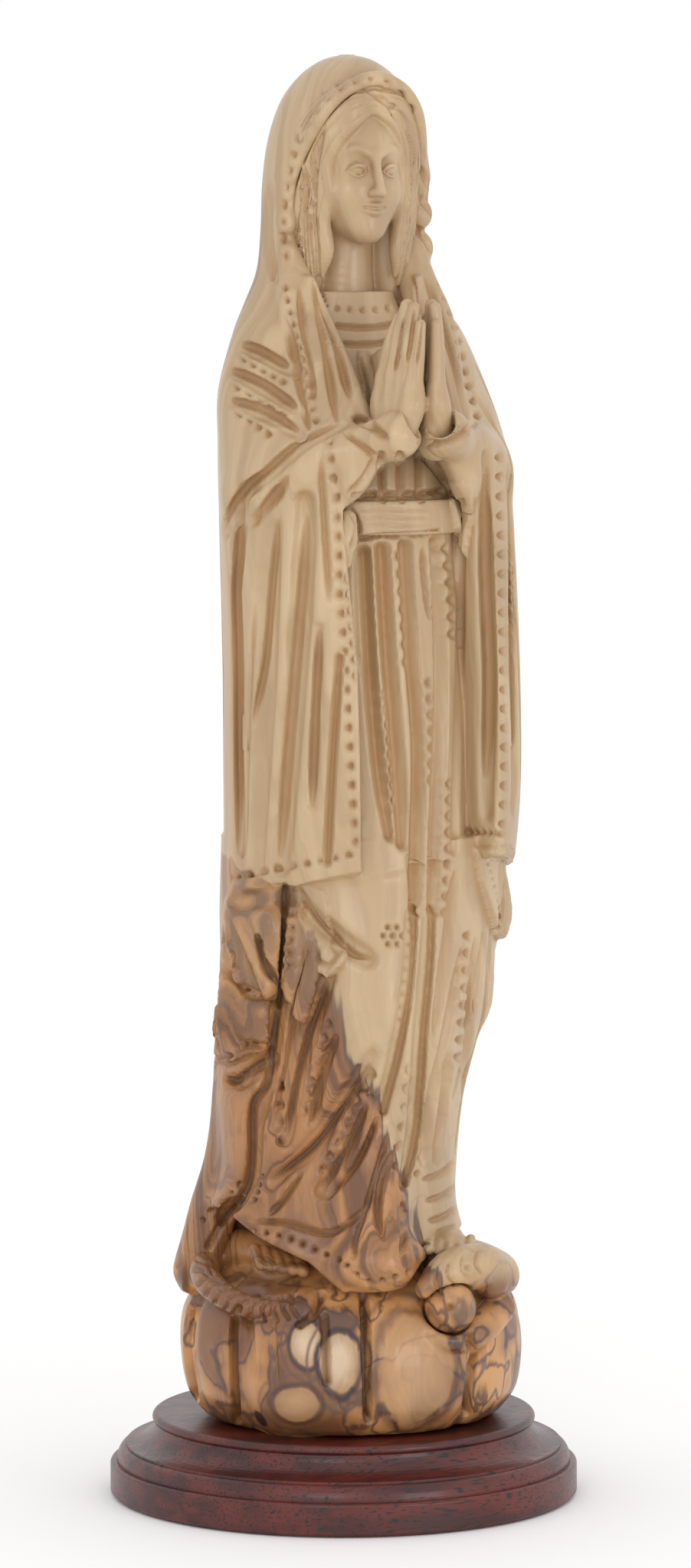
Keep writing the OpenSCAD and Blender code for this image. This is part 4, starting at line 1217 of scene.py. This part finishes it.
def olive_wood():
    wood = Shader("olive wood", roughness=0.4, coat=0.2)
    x, y, z = wood.x, wood.y, wood.z
    slow = wood.noise(x * 0.045, y * 0.045, z * 0.014, 2.0)
    middle = wood.noise(x * 0.16, y * 0.16, z * 0.05, 3.0)
    flame = wood.noise(x * 0.3, y * 0.3, z * 0.035, 2.0)
    pith_x, pith_y = -12 - 0.045 * (z - 54), -6 + 0.1 * (z - 54)
    rx, ry = x - pith_x, y - pith_y
    warp = (slow - 0.5) * 9 + (middle - 0.5) * 4
    radius = (rx * rx + ry * ry).math("SQRT") + warp
    corner = BOUNDARY_X * x + BOUNDARY_Y * y + 13 - 0.36 * (152 - z) + (slow - 0.5) * 9 + (flame - 0.5) * 13
    corner = corner + 2.0 * (z - 147).math("MAXIMUM", 0.0)
    low = 1 - z.step(40, 150)
    edge = (radius - HEARTWOOD_RADIUS).math("MINIMUM", corner)
    heart = 1 - edge.step(-1.6, 0.5)
    rings = wood.noise(radius * 0.34, (x + y) * 0.02, z * 0.012, 3.0)
    fine = wood.noise(radius * 1.4, (x - y) * 0.05, z * 0.02, 2.0)
    sap = wood.mix(colour(0.52, 0.37, 0.215), colour(0.41, 0.275, 0.15), rings.step(0.3, 0.7))
    sap = wood.mix(sap, colour(0.36, 0.25, 0.14), fine.step(0.55, 0.8) * 0.35)
    brown = wood.mix(colour(0.45, 0.21, 0.075), colour(0.15, 0.060, 0.024), rings.step(0.36, 0.66))
    brown = wood.mix(brown, colour(0.10, 0.042, 0.022), fine.step(0.52, 0.72) * 0.7)
    tone = wood.mix(sap, brown, heart * (0.7 + 0.3 * low.step(0.0, 0.3)))
    figured = wood.noise(x * 0.05, y * 0.05, z * 0.05, 2.0) + (middle - 0.5) * 0.2
    foot = 1 - z.step(52, 60)
    amber = wood.mix(colour(0.58, 0.285, 0.10), colour(0.19, 0.075, 0.028), figured.step(0.40, 0.62))
    amber = wood.mix(amber, colour(0.085, 0.04, 0.028), middle.step(0.54, 0.68) * 0.85)
    tone = wood.mix(tone, amber, foot * 0.9)
    lines = figured.near(0.41, 0.02) + figured.near(0.55, 0.024)
    line_share = lines * (0.2 + 0.8 * foot) * low + edge.near(-0.5, 1.5) * low.step(0.0, 0.3)
    tone = wood.mix(tone, colour(0.07, 0.033, 0.03), line_share.math("MINIMUM", 1.0) * 0.8)
    for centre, size, ring in KNOTS:
        a, b, c = ((v - p) / s for v, p, s in zip((x, y, z), on_mound(*centre), size))
        gap = (a * a + b * b + c * c).math("SQRT") + (middle - 0.5) * 0.5
        middle_tone = colour(0.58, 0.43, 0.28) if ring > 0.8 else colour(0.53, 0.31, 0.15)
        pale = wood.mix(middle_tone, colour(0.36, 0.20, 0.09), gap.step(0.3, 0.95) * 0.8 + (fine - 0.5))
        tone = wood.mix(tone, pale, (1 - gap.step(0.88, 1.0)) * (0.35 + 0.65 * ring))
        tone = wood.mix(tone, colour(0.035, 0.018, 0.022), gap.near(1.08, 0.19) * ring)
        tone = wood.mix(tone, colour(0.12, 0.06, 0.04), gap.near(1.48, 0.14) * ring * 0.8)
    for centre, size in SPOTS:
        a, b, c = (v - p for v, p in zip((x, y, z), on_mound(*centre)))
        gap = (a * a + b * b + c * c * 0.5).math("SQRT") + (middle - 0.5) * 2
        tone = wood.mix(tone, colour(0.03, 0.015, 0.012), 1 - gap.step(size * 0.7, size))
    hollowness = wood.number("hollow")
    # cuts and hollows take a saturated orange: partly real stain and wax held there, partly painted shade in
    # the recesses
    stain_and_shade = (hollowness.step(0.02, 0.28) * 0.7 + wood.number("cut").step(0.3, 2.2) * 0.3).math("MINIMUM", 1.0)
    tone = wood.mix(tone, colour(0.42, 0.22, 0.085), stain_and_shade * (0.75 - 0.4 * heart))
    # the deeper hollows are darkened, most on the heartwood: painted shade, partly also dark stain held there
    tone = wood.mix(tone, colour(0.09, 0.038, 0.016), hollowness.step(0.14, 0.65) * (0.12 + 0.73 * heart))
    grain = wood.noise(x * 1.1, y * 1.1, z * 0.16, 2.0)
    wood.bump(grain, 0.00005, 0.5)
    return wood.finish(Base_Color=tone, Roughness=0.34 + 0.14 * grain + 0.12 * stain_and_shade)


def mahogany():
    wood = Shader("mahogany", roughness=0.3, coat=0.12)
    wood.surface.inputs["Coat Roughness"].default_value = 0.08
    x, y, z = wood.x, wood.y, wood.z
    bands = wood.noise(x * 0.02 + 3, y * 0.11, z * 0.2, 3.0)
    pores = wood.noise(x * 0.22, y * 1.9, z * 1.9, 1.0)
    tone = wood.mix(colour(0.12, 0.014, 0.008), colour(0.045, 0.006, 0.005), bands.step(0.35, 0.65))
    tone = wood.mix(tone, colour(0.010, 0.004, 0.004), pores.step(0.56, 0.66) * 0.9)
    wood.bump(1 - pores.step(0.64, 0.74), 0.00008, 0.6)
    return wood.finish(Base_Color=tone, Roughness=0.28 + 0.2 * pores)


def beech():
    wood = Shader("beech", roughness=0.5)
    flecks = wood.noise(wood.x * 1.5, wood.y * 1.5, wood.z * 0.2, 2.0)
    tone = wood.mix(colour(0.62, 0.42, 0.25), colour(0.42, 0.25, 0.13), flecks.step(0.5, 0.75))
    return wood.finish(Base_Color=tone)


def screw_brass():
    metal = Shader("brass", roughness=0.3, metallic=1.0)
    wear = metal.noise(metal.x * 0.8, metal.y * 0.8, metal.z * 0.8, 3.0)
    tone = metal.mix(colour(0.80, 0.55, 0.20), colour(0.45, 0.28, 0.10), wear.step(0.5, 0.8))
    return metal.finish(Base_Color=tone, Roughness=0.22 + 0.25 * wear)


def felt():
    cloth = Shader("felt", roughness=0.95)
    fibre = cloth.noise(cloth.x * 3, cloth.y * 3, cloth.z * 3, 3.0)
    cloth.bump(fibre, 0.0002, 0.8)
    tone = cloth.mix(colour(0.012, 0.045, 0.022), colour(0.03, 0.09, 0.045), fibre.step(0.3, 0.7))
    return cloth.finish(Base_Color=tone)


def wear(material, *objects):
    for obj in objects:
        obj.data.materials.clear()
        obj.data.materials.append(material)


wear(olive_wood(), *pieces)
for node, material in (("plinth", mahogany()), ("locating_dowel", beech()), ("felt_disc", felt())):
    wear(material, bpy.data.objects[node])
brass = screw_brass()
for node in ("front_screw", "rear_screw"):
    wear(brass, bpy.data.objects[node])
print("materials worn by", len(pieces) + 5, "pieces")

# %% [markdown]
# ## Floor, light and camera
#
# The room is bright and white, and the statue stands on white paper. Two soft lamps stand in front of it:
# one on the left, higher than the head, and one a little to the right, at the height of the knee. The
# camera stands at the eye that the drawing board was made for.

# %% Light it and take the picture
FLOOR_HALF_WIDTH = 4
LIGHT_AIM, CAMERA_AIM = Vector((0, 0, 0.17)), Vector((0.0005, 0, 0.169))
floor_mesh = bpy.data.meshes.new("floor")
bm = bmesh.new()
bmesh.ops.create_grid(bm, x_segments=1, y_segments=1, size=FLOOR_HALF_WIDTH)
bm.to_mesh(floor_mesh)
bm.free()
floor = bpy.data.objects.new("floor", floor_mesh)
bpy.context.scene.collection.objects.link(floor)
paper = Shader("white paper", roughness=0.9)
wear(paper.finish(Base_Color=colour(1, 1, 1)), floor)

world = bpy.data.worlds.new("white room")
bpy.context.scene.world = world
world.use_nodes = True
world.node_tree.nodes["Background"].inputs["Color"].default_value = colour(1, 1, 1)
world.node_tree.nodes["Background"].inputs["Strength"].default_value = 1.0
bpy.context.scene.view_settings.view_transform = "Standard"


def aim(obj, target):
    """Turn a lamp or a camera to look at the target."""
    obj.rotation_euler = (target - obj.location).to_track_quat("-Z", "Y").to_euler()


def lamp(name, place, size, watts):
    data = bpy.data.lights.new(name, "AREA")
    data.size, data.energy = size, watts
    obj = bpy.data.objects.new(name, data)
    obj.location = place
    aim(obj, LIGHT_AIM)
    bpy.context.scene.collection.objects.link(obj)


lamp("key", (-0.9, -1.2, 0.5), 0.5, 2.4)
lamp("fill", (0.3, -1.4, 0.15), 0.5, 3.0)
camera = bpy.data.objects.new("camera", bpy.data.cameras.new("camera"))
bpy.context.scene.collection.objects.link(camera)
camera.location = Vector(eye_place * MM)
aim(camera, CAMERA_AIM)
camera.data.sensor_fit = "VERTICAL"
camera.data.sensor_height = 36
camera.data.lens = 141.6
camera.data.clip_start = 0.05
bpy.context.scene.camera = camera
print("the camera is", round(camera.location.length, 2), "m away")

# %% Finish
print("finished")
